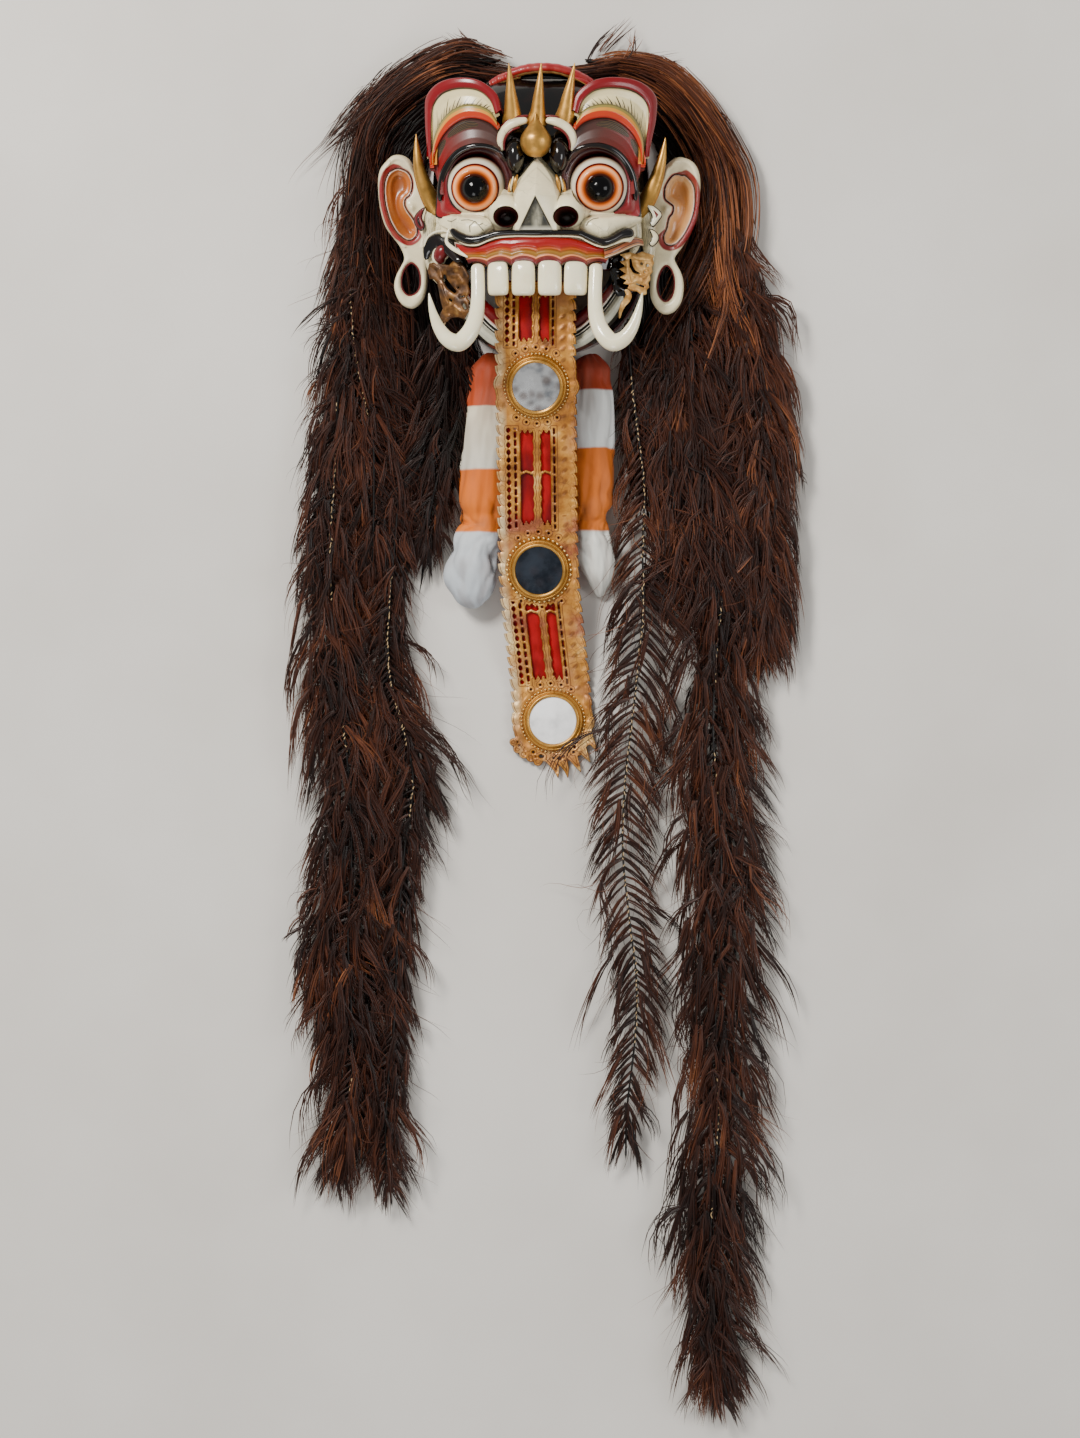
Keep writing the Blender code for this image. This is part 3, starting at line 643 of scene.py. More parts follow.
shell = {
    "halfWidth": 126, "top": 152, "bottom": 172, "wall": 50, "crown": 118,
    "power": 2.6,  # how square the rim is: 2 for an ellipse
    "wallShare": 0.2, "gather": 1.35, "shoulder": 0.55,  # the wall's share of the grid, and how the crown rounds off
    "thick": 16, "hollowWall": 34, "under": -20, "through": 240,  # the hollow, and cutters that start under the floor
    "mouth": [(86, -77), (72, -108), (52, -133), (28, -151), (0, -157)],
}


def rimPlace(angle, inset=0):
    reach = shell["top"] if math.sin(angle) > 0 else shell["bottom"]
    c, s = math.cos(angle), math.sin(angle)
    squared = 2 / shell["power"]
    return power(c, squared) * (shell["halfWidth"] - inset), power(s, squared) * (reach - inset)


def domeGrid(name, inset, wall, crown, floor, columns, rows):
    # v runs up the wall and then in over the shoulder to the middle
    def place(u, v):
        x, y = rimPlace(circle * u, inset)
        if v < shell["wallShare"]:
            return at(x, y, floor + (wall - floor) * v / shell["wallShare"])
        share = (1 - (v - shell["wallShare"]) / (1 - shell["wallShare"])) ** shell["gather"]
        high = wall + (crown - wall) * (1 - share ** shell["power"]) ** shell["shoulder"]
        return at(x * share, y * share, high)

    return capped(closeUp(shapedGrid(name, columns, rows, place)))


def cutBy(piece, cutter):
    applyModifier(piece, "BOOLEAN", operation="DIFFERENCE", object=cutter)
    bpy.data.objects.remove(cutter)


def mouthCutter():
    half = shell["mouth"]
    outline = half + [(-x, y) for x, y in reversed(half[:-1])]
    corners = [tuple(at(x, y, shell["under"])) for x, y in outline]
    cutter = meshPiece("mouthCutter", corners, [tuple(range(len(outline)))])
    editAll(
        cutter,
        lifted(shell["through"]),
        (bpy.ops.mesh.select_all, {"action": "SELECT"}),
        (bpy.ops.mesh.normals_make_consistent, {"inside": False}),
    )
    return cutter


def makeShell():
    body = domeGrid("faceShell", 0, shell["wall"], shell["crown"], 0, 128, 40)
    cutBy(body, domeGrid("hollow", shell["thick"], shell["hollowWall"], shell["crown"] - 20, shell["under"], 72, 20))
    cutBy(body, mouthCutter())
    finished(body, "black", angle=35)
    for name in ("edge", "wood", "deepRed"):
        body.data.materials.append(finishes[name].material)
    wide, top, bottom = (shell[key] - shell["thick"] / 2 for key in ("halfWidth", "top", "bottom"))
    square = shell["power"]
    for face in body.data.polygons:
        x, y, z = (face.center.x - faceX) / mm, (face.center.y - faceY) / mm, face.center.z / mm
        # below 1 inside the middle line of the wall
        reach = (abs(x / wide) ** square + abs(y / (top if y > 0 else bottom)) ** square) ** (1 / square)
        facing = face.normal.z
        if facing < -0.05 or (z < shell["hollowWall"] and reach < 1):
            face.material_index = 2
        elif z < shell["wall"] + 1:
            face.material_index = 1
        elif y < -70 and abs(facing) < 0.1 and reach < 0.97:
            face.material_index = 3


hood = {
    "low": [(40, 50), (47, 58), (58, 64), (72, 66), (86, 62), (97, 54), (105, 41), (110, 25), (112, 8)],
    "roll": [(45, 80), (54, 88), (68, 93), (84, 93), (98, 86), (109, 75), (116, 62), (119, 50), (119, 38)],
    "top": [(46, 91), (54, 103), (68, 109.5), (86, 110), (103, 102), (114, 89), (120, 74), (122, 60), (122, 46)],
    "rimIn": [
        (48, 99), (54, 115), (68, 126.5), (89, 129.5), (110, 125), (122, 112), (124, 94), (123.5, 74), (123.5, 52),
    ],
    "rimOut": [
        (41, 104), (46.5, 123), (66, 137.5), (90, 141.5), (115, 137), (131, 122), (132.5, 99), (130.5, 76), (127, 50),
    ],
    "flare": {-1: -0.03, 1: 0.07},  # how much wider than drawn each one stands at its outer side
    "across": [0, 0.34, 0.52, 0.755, 0.88],  # where v crosses these lines; past the last it runs down the outer wall
    "wallFoot": 62,
    "heights": [
        (0, 149.5), (0.08, 146), (0.2, 144.5), (0.3, 146.5), (0.335, 149), (0.36, 153), (0.43, 155.5), (0.5, 153.5),
        (0.52, 151.5), (0.535, 147), (0.65, 145.5), (0.735, 147.5), (0.755, 149.5), (0.765, 152.5), (0.82, 153.5),
        (0.875, 152.5), (0.88, 152),
    ],
    "shoulder": 60, "roundOff": 0.0062,  # where it starts to fall away outwards, and how fast
    "thick": 5,
    "rods": {
        "browLine*": ("black", 64, 14, (1, 1), [
            (35, 45, 141, 1.6), (42, 55, 147, 2.2), (53, 61, 149.5, 2.6), (67, 63, 149.5, 2.9), (80, 61, 147, 3.3),
            (92, 55, 142, 3.7), (102, 44, 136, 4.0), (109, 30, 131, 4.2), (112.5, 12, 127, 3.8), (113, 0, 124, 1.6),
        ]),
    },
}


def hoodPlace(side):
    flare, shares, shoulder = hood["flare"][side], hood["across"], hood["shoulder"]
    edges = [
        [(x + flare * max(x - shoulder, 0) * min(max(y / 60 - 0.8, 0), 1), y) for x, y in hood[key]]
        for key in ("low", "roll", "top", "rimIn", "rimOut")
    ]

    def height(x, v):
        return stopsAt(hood["heights"], v) - hood["roundOff"] * max(x - shoulder, 0) ** 2

    def place(u, v):
        if v > shares[-1]:
            x, y = along(edges[-1], u)
            high = height(x, shares[-1])
            t = (v - shares[-1]) / (1 - shares[-1])
            pull = 1 - 0.03 * t
            return at(side * x * pull, y * pull, high + (hood["wallFoot"] - high) * t)
        k = max(i for i in range(4) if v >= shares[i]) if v > 0 else 0
        t = (v - shares[k]) / (shares[k + 1] - shares[k])
        low, high = along(edges[k], u), along(edges[k + 1], u)
        x, y = low + (high - low) * t
        return at(side * x, y, height(x, v))

    return place


def makeHood(side):
    piece = faceUp(shapedGrid(sideName("browHood", side), 60, 84, hoodPlace(side)))
    applyModifier(piece, "SOLIDIFY", thickness=hood["thick"] * mm, offset=-1)
    finished(piece, "brow", angle=50)
    rods(hood["rods"], side, angle=40)


eye = {
    # the eyeball: how far out its front goes, and how far back it reaches
    "centre": (70.5, 18, 118), "radius": 36, "shown": 35.9, "depth": 30,
    "look": {-1: (1.5, -5), 1: (2.6, -5)},  # how far the iris sits outwards and upwards of the middle
    "lidInner": (35.4, 3.0), "lidRound": 3.6, "lidThick": 9,  # the lid's inner edge, closer in at its sides
    "relief": [
        (0, 4.4), (4, 4.2), (8, 3.3), (11, 1.9), (13.2, 0.3), (14.4, -0.9), (16.5, -1.3), (19, 0.0), (21.5, 1.7),
        (23.4, 2.2), (24.8, 1.6), (26.2, 0.1), (27.2, -0.8), (28.4, -0.2), (30, 0), (36, 0),
    ],
    "lidEdge": [  # degrees from the temple, over the top; how far out the lid's edge is
        (-180, 42.5), (-150, 41), (-120, 38.8), (-90, 38), (-70, 39.5), (-60, 42), (-50, 47.5), (-42, 55), (-37, 59.5),
        (-33, 58), (-26, 53), (-18, 49.5), (-8, 46.5), (0, 45), (20, 43), (60, 43), (90, 44.5), (120, 46.5), (150, 45),
        (180, 42.5),
    ],
    "lidHeight": [
        (-180, 141), (-150, 143), (-120, 142), (-90, 138), (-60, 128), (-37, 114), (-18, 116), (0, 120), (30, 128),
        (60, 135), (90, 140), (130, 143), (180, 141),
    ],
}


def makeEye(side):
    cx, cy, cz = eye["centre"]
    ball = eye["radius"]
    outwards, upwards = eye["look"][side]
    gaze = Vector((side * outwards, upwards, math.sqrt(ball**2 - 25)))
    turn = Vector((0, 0, 1)).rotation_difference(gaze).to_matrix()

    def place(u, v):
        reach = eye["shown"] * v
        high = math.sqrt(max(ball**2 - reach**2, 0)) + stopsAt(eye["relief"], reach)
        angle = circle * u
        out = turn @ Vector((reach * math.cos(angle), reach * math.sin(angle), high))
        return at(side * cx + out.x, cy + out.y, cz + out.z)

    piece = closeUp(shapedGrid(sideName("eye", side), 72, 64, place))
    finished(capped(piece, lifted(-eye["depth"])), "eye")


def makeSocket(side):
    cx, cy, cz = eye["centre"]
    ball = eye["radius"]

    def place(u, v):
        turn = -180 + 360 * u
        angle = math.radians(turn)
        inner = eye["lidInner"][0] - eye["lidInner"][1] * math.cos(angle) ** 2
        outer = stopsAt(eye["lidEdge"], turn)
        reach = inner + (outer - inner) * v
        base = math.sqrt(ball**2 - inner**2) + cz - 1
        high = base + (stopsAt(eye["lidHeight"], turn) - base) * v
        high += eye["lidRound"] * math.sin(math.pi * min(v * 1.5, 1))
        return at(side * (cx + reach * math.cos(angle)), cy + reach * math.sin(angle), high)

    piece = shapedGrid(sideName("eyeSocket", side), 120, 18, place)
    editAll(piece, (bpy.ops.mesh.remove_doubles, {"threshold": weld}))
    faceUp(piece)
    applyModifier(piece, "SOLIDIFY", thickness=eye["lidThick"] * mm, offset=-1)
    finished(piece, "socket", angle=50)


relief = {
    "spacing": 0.7,
    "left": -119, "right": 119, "low": -52, "high": 52,
    "tip": 189, "skirt": 30,  # height of the nose's tip, and depth of the sides
    "ridge": [(-50, 150), (3.3, 189), (8, 186), (15, 178.5), (26, 166), (36, 154), (44, 144), (50, 136), (60, 120)],
    "bridgeHalf": [(-50, 24), (3, 24), (8, 22.5), (16, 20.5), (26, 16.5), (37, 9.5), (44, 4.5), (49, 0.5), (60, 0)],
    "septumTop": 3.3, "septumLow": -34.5, "septumHalf": 19.3, "septumFall": 0.44,
    "wing": (36, -13.5, 156), "wingSize": (19.5, 20, 23),
    "nostril": (34.5, -20.6), "nostrilSize": (14.4, 11.8),
    "roll": [  # x, middle y, half height, top z
        (50, -27, 6, 154), (56, -28.5, 8, 157), (64, -30.5, 11, 159), (74, -32.5, 13, 157.5), (82, -31.5, 12.4, 154.5),
        (92, -27, 9.8, 147), (102, -24.5, 7.5, 138.5), (112, -22, 5, 127), (119, -20, 3, 116),
    ],
    "plane": [(0, 90), (30, 110), (44, 142), (56, 143), (70, 139), (88, 131), (104, 121), (112, 114), (119, 100)],
    "cracks": [
        [(-87, -23), (-79, -22.5), (-71, -24.5), (-66, -29.5), (-61, -35.5)], [(-71, -24.5), (-77, -30), (-76.5, -37)],
        [(57.5, -30), (60, -25.5), (65, -22.3), (71, -21)], [(-93, -21), (-99, -23.5), (-104, -22)],
        [(-66, -29.5), (-61.5, -27)],
    ],
}


def smoothMax(a, b, blend):
    share = held(0.5 + 0.5 * (a - b) / blend)
    return b + (a - b) * share + blend * share * (1 - share)


def toSegment(x, y, start, end):
    # how far along a segment each point lies, and how far from it
    (ax, ay), (bx, by) = start[:2], end[:2]
    t = held(((x - ax) * (bx - ax) + (y - ay) * (by - ay)) / max((bx - ax) ** 2 + (by - ay) ** 2, 1e-9))
    return t, np.hypot(x - ax - t * (bx - ax), y - ay - t * (by - ay))


def toLines(x, y, lines):
    # how far each point is from the nearest of some drawn lines
    return np.minimum.reduce([toSegment(x, y, a, b)[1] for line in lines for a, b in zip(line, line[1:])])


def carvedHeight(x, y):
    ax = np.abs(x)
    below = np.maximum(relief["septumTop"] - y, 0)
    half = relief["septumHalf"] * below / (relief["septumTop"] - relief["septumLow"])
    ridge = np.where(y > relief["septumTop"], stopsAt(relief["ridge"], y), relief["tip"] - relief["septumFall"] * below)
    out = np.maximum(ax - half, 0)
    wide = stopsAt(relief["bridgeHalf"], y)
    bridge = ridge - 0.42 * out - 0.012 * out**2 - 3.4 * np.maximum(ax - wide, 0)
    bridge = bridge - 5 * np.maximum(relief["septumLow"] - 1 - y, 0)
    recess = held((half - ax) / 2.2)
    bridge = bridge - 3.4 * recess * recess * (3 - 2 * recess)
    chevron = 37.5 - 0.95 * ax - 0.006 * ax**2  # a step down across the top of the bridge
    bridge = bridge - 1.7 * held((y - chevron) / 1.2 + 0.5)
    cx, cy, cz = relief["wing"]
    rx, ry, rz = relief["wingSize"]
    swell = 1 - ((ax - cx) / rx) ** 2 - ((y - cy) / ry) ** 2
    wing = cz + rz * np.sqrt(np.maximum(swell, 0)) - 26 * np.maximum(-swell, 0)
    face = smoothMax(bridge, wing, 5.0)
    middle, size, top = (stopsAt(relief["roll"], ax, column) for column in (1, 2, 3))
    lump = 1 - ((y - middle) / size) ** 2
    ends = np.where(x < 0, held((99 - ax) / 7), 1) * held((ax - 44) / 8)
    roll = top - 11 + 11 * np.sqrt(np.maximum(lump, 0)) * np.sqrt(ends) - 16 * np.maximum(-lump, 0)
    brink = 0.2 * np.maximum(60 - ax, 0) - 14
    plane = stopsAt(relief["plane"], ax) - 3.0 * np.maximum(-40 - y, 0) - 2.5 * np.maximum(y - brink, 0)
    face = smoothMax(face, roll, 1.4)
    face = smoothMax(face, plane, 2.0)
    nx, ny = relief["nostril"]
    hole = np.hypot((ax - nx) / relief["nostrilSize"][0], (y - ny) / relief["nostrilSize"][1])
    pit = 180 - 44 * np.sqrt(np.maximum(1 - np.minimum(hole, 1) ** 3, 0)) + 260 * np.maximum(hole - 1, 0)
    face = -smoothMax(-face, -pit, 1.8)
    cracks = toLines(x, y, relief["cracks"])
    return face - 0.9 * np.exp(-((cracks / 0.45) ** 2)), hole, half - ax, cracks


def blurred(field, steps):
    for _ in range(steps):
        field = np.pad(field, 1, mode="edge")
        field = (field[1:-1, :-2] + field[1:-1, 2:] + field[:-2, 1:-1] + field[2:, 1:-1] + 2 * field[1:-1, 1:-1]) / 6
    return field


def keep(piece, name, values):
    piece.data.attributes.new(name, "FLOAT", "POINT").data.foreach_set("value", np.asarray(values, np.float32).ravel())


def makeRelief():
    columns = round((relief["right"] - relief["left"]) / relief["spacing"])
    rows = round((relief["high"] - relief["low"]) / relief["spacing"])
    piece = flatGrid("noseAndCheeks", columns, rows)
    place = np.empty(len(piece.data.vertices) * 3, np.float32)
    piece.data.vertices.foreach_get("co", place)
    place = place.reshape(-1, 3).astype(float)
    x = relief["left"] + (place[:, 0] + 0.5) * (relief["right"] - relief["left"])
    y = relief["low"] + (place[:, 1] + 0.5) * (relief["high"] - relief["low"])
    height, hole, septum, cracks = carvedHeight(x, y)
    grid = height.reshape(rows + 1, columns + 1)
    keep(piece, "hole", hole)
    keep(piece, "septum", np.where(y < relief["septumTop"] + 1, septum, -5))
    keep(piece, "crack", cracks)
    # how far each point sinks below its smoothed surroundings, for the grime and painted shade of the creases
    keep(piece, "cavity", (blurred(grid, 14) - grid).ravel())
    place[:, 0], place[:, 1], place[:, 2] = faceX + x * mm, faceY + y * mm, height * mm
    piece.data.vertices.foreach_set("co", place.astype(np.float32).ravel())
    shape = bmesh.new()
    shape.from_mesh(piece.data)
    eyeX, eyeY, _ = eye["centre"]

    def covered(px, py, pz):
        # by an eye, by a hood, or by the shell
        out = abs(px)
        return math.hypot(out - eyeX, py - eyeY) < 31 or (out > 26 and py > 20) or pz < 108 - 0.25 * max(out - 80, 0)

    hidden = [v for v, *where in zip(shape.verts, x, y, height) if covered(*where)]
    bmesh.ops.delete(shape, geom=hidden, context="VERTS")
    rim = [e for e in shape.edges if e.is_boundary]
    skirt = bmesh.ops.extrude_edge_only(shape, edges=rim)["geom"]
    for v in (g for g in skirt if isinstance(g, bmesh.types.BMVert)):
        v.co.z -= relief["skirt"] * mm
    under = [e for e in shape.edges if e.is_boundary]
    bmesh.ops.triangle_fill(shape, edges=under, normal=(0, 0, -1), use_beauty=True)
    bmesh.ops.dissolve_degenerate(shape, edges=shape.edges[:], dist=weld)
    bmesh.ops.recalc_face_normals(shape, faces=shape.faces)
    shape.to_mesh(piece.data)
    shape.free()
    finished(piece, "face")


forehead = {
    "knob": {"middle": (25.5, 52, 138), "size": (11.5, 21, 18), "taper": 1.5},
    "rods": {
        "foreheadArch*": ("white", 40, 18, (1, 1), [
            (40.5, 56, 140, 2.4), (42, 66, 143, 4.2), (39.5, 77, 146, 5.2), (32, 85.5, 148, 5.4), (22, 90, 149, 5),
            (10, 92, 148, 3.6),
        ]),
        "foreheadLine*": ("deepRed", 40, 10, (1, 1), [
            (43.5, 58, 140, 1.3), (45.5, 68, 143, 1.8), (42.5, 80, 145.5, 2.0), (33.5, 90.5, 147.5, 2.2),
            (21, 95.5, 148, 2), (9, 97, 147, 1.5),
        ]),
        "foreheadInnerLine*": ("deepRed", 32, 8, (1, 1), [
            (37.5, 57, 142, 1.0), (37.5, 67, 147.5, 1.3), (34, 75, 150, 1.4), (28, 80.5, 151, 1.4), (19, 84, 151, 1.0),
        ]),
        "noseLeaf*1": (
            "gold", 16, 10, (1, 0.8),
            [(22, 30, 150, 0.7), (24, 24, 153, 2.0), (25.5, 15, 152, 2.1), (26.5, 7, 150, 0.8)],
        ),
        "noseLeaf*2": (
            "white", 16, 10, (1, 0.8),
            [(27, 28, 147, 0.5), (28, 22, 148.5, 1.3), (29.5, 16, 148, 1.2), (30, 10, 146, 0.4)],
        ),
        "noseLeaf*3": (
            "gold", 16, 10, (1, 0.8),
            [(29.5, 26, 144, 0.6), (31, 18, 146, 1.7), (32, 10, 146, 1.8), (31.5, 5, 145, 0.6)],
        ),
    },
}


def makeForehead(side):
    bpy.ops.object.select_all(action="DESELECT")
    bpy.ops.mesh.primitive_uv_sphere_add(segments=40, ring_count=24, radius=1)
    knob = named(sideName("foreheadKnob", side))
    (mx, my, mz), (wide, long, deep) = forehead["knob"]["middle"], forehead["knob"]["size"]
    for point in knob.data.vertices:
        x, y, z = point.co
        point.co = at(side * mx + (wide + forehead["knob"]["taper"] * y) * x, my + long * y, mz + deep * z)
    finished(knob, "black")
    rods(forehead["rods"], side)


arch = {"high": 162, "curve": 0.0035, "pitch": 28.5, "gum": -77, "scallop": 5.5}  # the row of teeth under the lip


def archDepth(x):
    return arch["high"] - arch["curve"] * x * x


def gumEdge(x):
    # scalloped lower edge of the gum: an arch over each tooth
    near = (x / arch["pitch"]) % 1  # 0 at the gap between two teeth
    return arch["gum"] + arch["scallop"] * math.sin(math.pi * near) ** 0.8


lip = {
    "half": 79, "corner": 17,  # half its width, and how far its ends slant out
    "top": [
        (-98, -46), (-80, -51), (-68, -51), (-56, -46.5), (-40, -42.5), (0, -41.5), (40, -42.5), (56, -46.5), (68, -51),
        (80, -53), (98, -46),
    ],
    "relief": [
        (0, 1), (0.05, 4.5), (0.14, 7.5), (0.26, 8.6), (0.38, 7.2), (0.44, 5.2), (0.5, 4.2), (0.6, 6.0), (0.69, 5.0),
        (0.74, 6.4), (0.79, 5.4), (0.85, 3.2), (0.95, 1.2), (1, -2),
    ],
    "rods": {
        "moustacheLine": ("black", 170, 16, (1, 1.2), [
            (-99, -33, 142, 3.6), (-92, -39.5, 147, 5), (-80, -45, 153, 5.4), (-68, -45.5, 157, 4.8),
            (-56, -42, 160, 3.6), (-44, -39, 163, 3.2), (-24, -38, 165, 3), (0, -38.5, 166, 3), (24, -38, 165, 3),
            (48, -38.5, 162, 3.2), (58, -42, 160, 3.6), (68, -46.5, 157, 4.2), (78, -48.5, 154, 4.6),
            (88, -45, 149, 4.4), (97, -39.5, 143, 5), (104, -37.5, 136, 6.4), (109, -38, 130, 5),
        ]),
        "moustacheEdge": ("white", 150, 10, (1, 1), [
            (-90, -47.5, 146, 0.6), (-80, -51.5, 152, 1.0), (-68, -52, 157, 1.0), (-56, -47.5, 160, 0.9),
            (-44, -44, 163, 0.8), (-24, -42.6, 165, 0.8), (0, -43, 166, 0.8), (24, -42.6, 165, 0.8),
            (48, -43.5, 162, 0.8), (58, -48, 160, 0.9), (68, -52.5, 157, 1.0), (78, -54.5, 154, 1.1),
            (88, -51, 150, 1.3), (98, -46.5, 144, 2.0), (105, -45, 138, 2.6), (110, -41, 133, 2.2),
            (112, -35, 130, 1.0),
        ]),
    },
}


def makeLip():
    def place(u, v):
        t = 2 * u - 1
        x = t * (lip["half"] + lip["corner"] * abs(t) ** 5 * (1 - v) ** 1.4)
        high = stopsAt(lip["top"], x) - 0.5
        y = high + (gumEdge(lip["half"] * t) - high) * v
        wave = 1.6 * (0.5 - 0.5 * math.cos(circle * x / arch["pitch"])) * smoothStep(0.4, 0.8, v)
        fade = smoothStep(0, 0.1, u) * smoothStep(0, 0.1, 1 - u)
        return at(x, y, archDepth(x) + stopsAt(lip["relief"], v) * (0.55 + 0.45 * fade) + wave)

    finished(plate("upperLip", 150, 44, place, 14), "lip", angle=50)
    rods(lip["rods"])


cheek = {
    "temples": {
        "templeStrip*": ("temple", 50, 20, (1, 1), [
            (111, 12, 92, 5), (119, 1, 92, 8), (125.5, -18, 88, 8.5), (127, -40, 85, 8.5), (125.5, -60, 84, 8.5),
            (119, -80, 86, 8), (107, -95, 90, 6),
        ]),
        "templeFold*": (
            "temple", 36, 16, (1, 1),
            [(104, -6, 108, 4), (110, -18, 108, 6), (113, -34, 106, 6.5), (112, -50, 104, 5), (106, -62, 104, 3)],
        ),
    },
    "corner": {  # the turned-out right corner of the mouth: its edges, (x, height) along it, and its swell
        "upper": [(77, -56), (90, -51), (101, -45), (112, -41), (121, -43)],
        "lower": [(79, -68), (92, -63), (104, -57), (115, -52), (122, -51)],
        "heights": [(77, 152), (88, 146), (98, 138), (110, 127), (121, 116)],
        "swell": 5,
    },
    "right": {
        "mouthHook": ("ivory", 30, 12, (1, 1), [
            (97, -49, 136, 0.8), (103, -48.5, 135, 1.7), (108, -44, 132, 2.0), (110, -38, 129, 1.6),
            (109, -33, 128, 0.5),
        ]),
    },
    "left": {
        "mouthCornerLeft": ("ivory", 44, 20, (1, 0.8), [
            (-101.5, -31, 136, 0.8), (-103.5, -39, 137, 1.5), (-104.5, -47, 139, 2), (-99, -53.5, 143, 2.5),
            (-89, -60, 149, 2.4), (-79, -66, 155, 0.9),
        ]),
        "mouthCornerUnder": ("black", 34, 14, (1, 0.45), [
            (-131, -66, 97, 2), (-127, -52, 102, 7), (-117, -45, 108.5, 9.5), (-106, -48, 114, 9.5),
            (-97, -59, 122, 7.5), (-89, -70, 130, 4),
        ]),
        "cornerKnob": (
            "deepRed", 34, 14, (1, 1),
            [(-105, -50, 112, 4), (-110, -55, 112, 7.5), (-114, -62, 109, 7.5), (-112, -70, 105, 4)],
        ),
        "cornerKnobEdge": (
            "ivory", 34, 14, (1, 1),
            [(-103, -48, 106, 5), (-110, -55, 105, 9.2), (-115, -63, 102, 9), (-112, -73, 99, 5)],
        ),
        "cheekLine": ("ivory", 34, 14, (1, 1), [
            (-133, -51, 104, 0.6), (-128, -40, 108, 1.1), (-119, -34.5, 114, 1.3), (-109, -33.5, 121, 1),
            (-102, -36, 126, 0.4),
        ]),
    },
}


def cornerPlace(u, v):
    corner, swell = cheek["corner"], cheek["corner"]["swell"]
    upper, lower = along(corner["upper"], u), along(corner["lower"], u)
    x, y = upper + (lower - upper) * v
    rise = swell * math.sqrt(max(math.sin(math.pi * v), 0)) * math.sqrt(max(math.sin(math.pi * (0.02 + 0.96 * u)), 0))
    return at(x, y, along(corner["heights"], u)[1] - swell * 0.8 + rise)


def makeCheek(side):
    rods(cheek["temples"], side)
    if side > 0:
        finished(plate("mouthCornerRight", 40, 18, cornerPlace, 8), "corner")
    rods(cheek["right" if side > 0 else "left"])


jaw = {
    "route": [
        (101, -88, 92), (96, -100, 94), (84, -119, 97), (74, -131, 98), (60, -146, 99), (46, -156, 100),
        (30, -162, 100), (14, -165, 100), (0, -166, 100),
    ],
    "half": 13.5,
    "relief": [
        (0, -14), (0.06, -2), (0.14, 1.5), (0.22, 0.5), (0.27, -1.4), (0.33, 0.2), (0.37, 1.6), (0.41, -0.6), (0.47, 1),
        (0.6, 4), (0.75, 4), (0.88, 0), (0.96, -8), (1, -18),
    ],
    "rods": {
        "lowerGum": ("deepRed", 90, 16, (1, 1), [
            (-90, -86, 88, 4), (-80, -104, 88, 8), (-62, -124, 88, 9), (-36, -142, 88, 9), (0, -149, 88, 9),
            (36, -142, 88, 9), (62, -124, 88, 9), (80, -104, 88, 8), (90, -86, 88, 4),
        ]),
    },
}


def makeJaw():
    route = [(-x, y, z) for x, y, z in jaw["route"]] + jaw["route"][-2::-1]

    def place(u, v):
        here = along(route, u)
        run = along(route, min(u + 0.01, 1)) - along(route, max(u - 0.01, 0))
        outward = Vector((run[1], -run[0])).normalized()
        reach = jaw["half"] * (2 * v - 1) * (0.62 + 0.38 * math.sin(math.pi * u) ** 0.5)
        scallop = 1.3 * abs(math.sin(9 * math.pi * u)) * smoothStep(0.75, 1, v)
        reach += scallop
        return at(here[0] + outward.x * reach, here[1] + outward.y * reach, here[2] + stopsAt(jaw["relief"], v))

    finished(plate("lowerLip", 130, 34, place, 9), "jaw", angle=55)
    rods(jaw["rods"])


makeShell()
for side in (-1, 1):
    makeHood(side)
    makeEye(side)
    makeSocket(side)
    makeCheek(side)
    makeForehead(side)
makeRelief()
makeLip()
makeJaw()
print("face carved")

# sheets cut to an outline, carved or tooled in relief

def toOutline(x, y, outline):
    # distance to a closed outline, positive inside it
    ring = outline + outline[:1]
    inside = np.zeros(x.shape, bool)
    for (ax, ay), (bx, by) in zip(ring, ring[1:]):
        if ay != by:
            inside ^= ((ay > y) != (by > y)) & (x < (bx - ax) * (y - ay) / (by - ay) + ax)
    return np.where(inside, 1, -1) * toLines(x, y, [ring])


def toStroke(x, y, stroke):
    # distance into a brush stroke along (x, y, half width) points, positive inside it
    best = -np.inf
    for start, end in zip(stroke, stroke[1:]):
        t, away = toSegment(x, y, start, end)
        best = np.maximum(best, start[2] + (end[2] - start[2]) * t - away)
    return best


def boxed(outline):
    # the corners of a sheet that just takes in an outline
    xs, ys = zip(*outline)
    return (min(xs) - 2, min(ys) - 2), (max(xs) + 2, max(ys) + 2)


def roundOutline(points, count):
    # a closed smooth outline through the points
    ring = [points[-1], *points, points[0], points[1]]
    spans = len(ring) - 1
    return [tuple(along(ring, (1 + len(points) * i / count) / spans)) for i in range(count)]


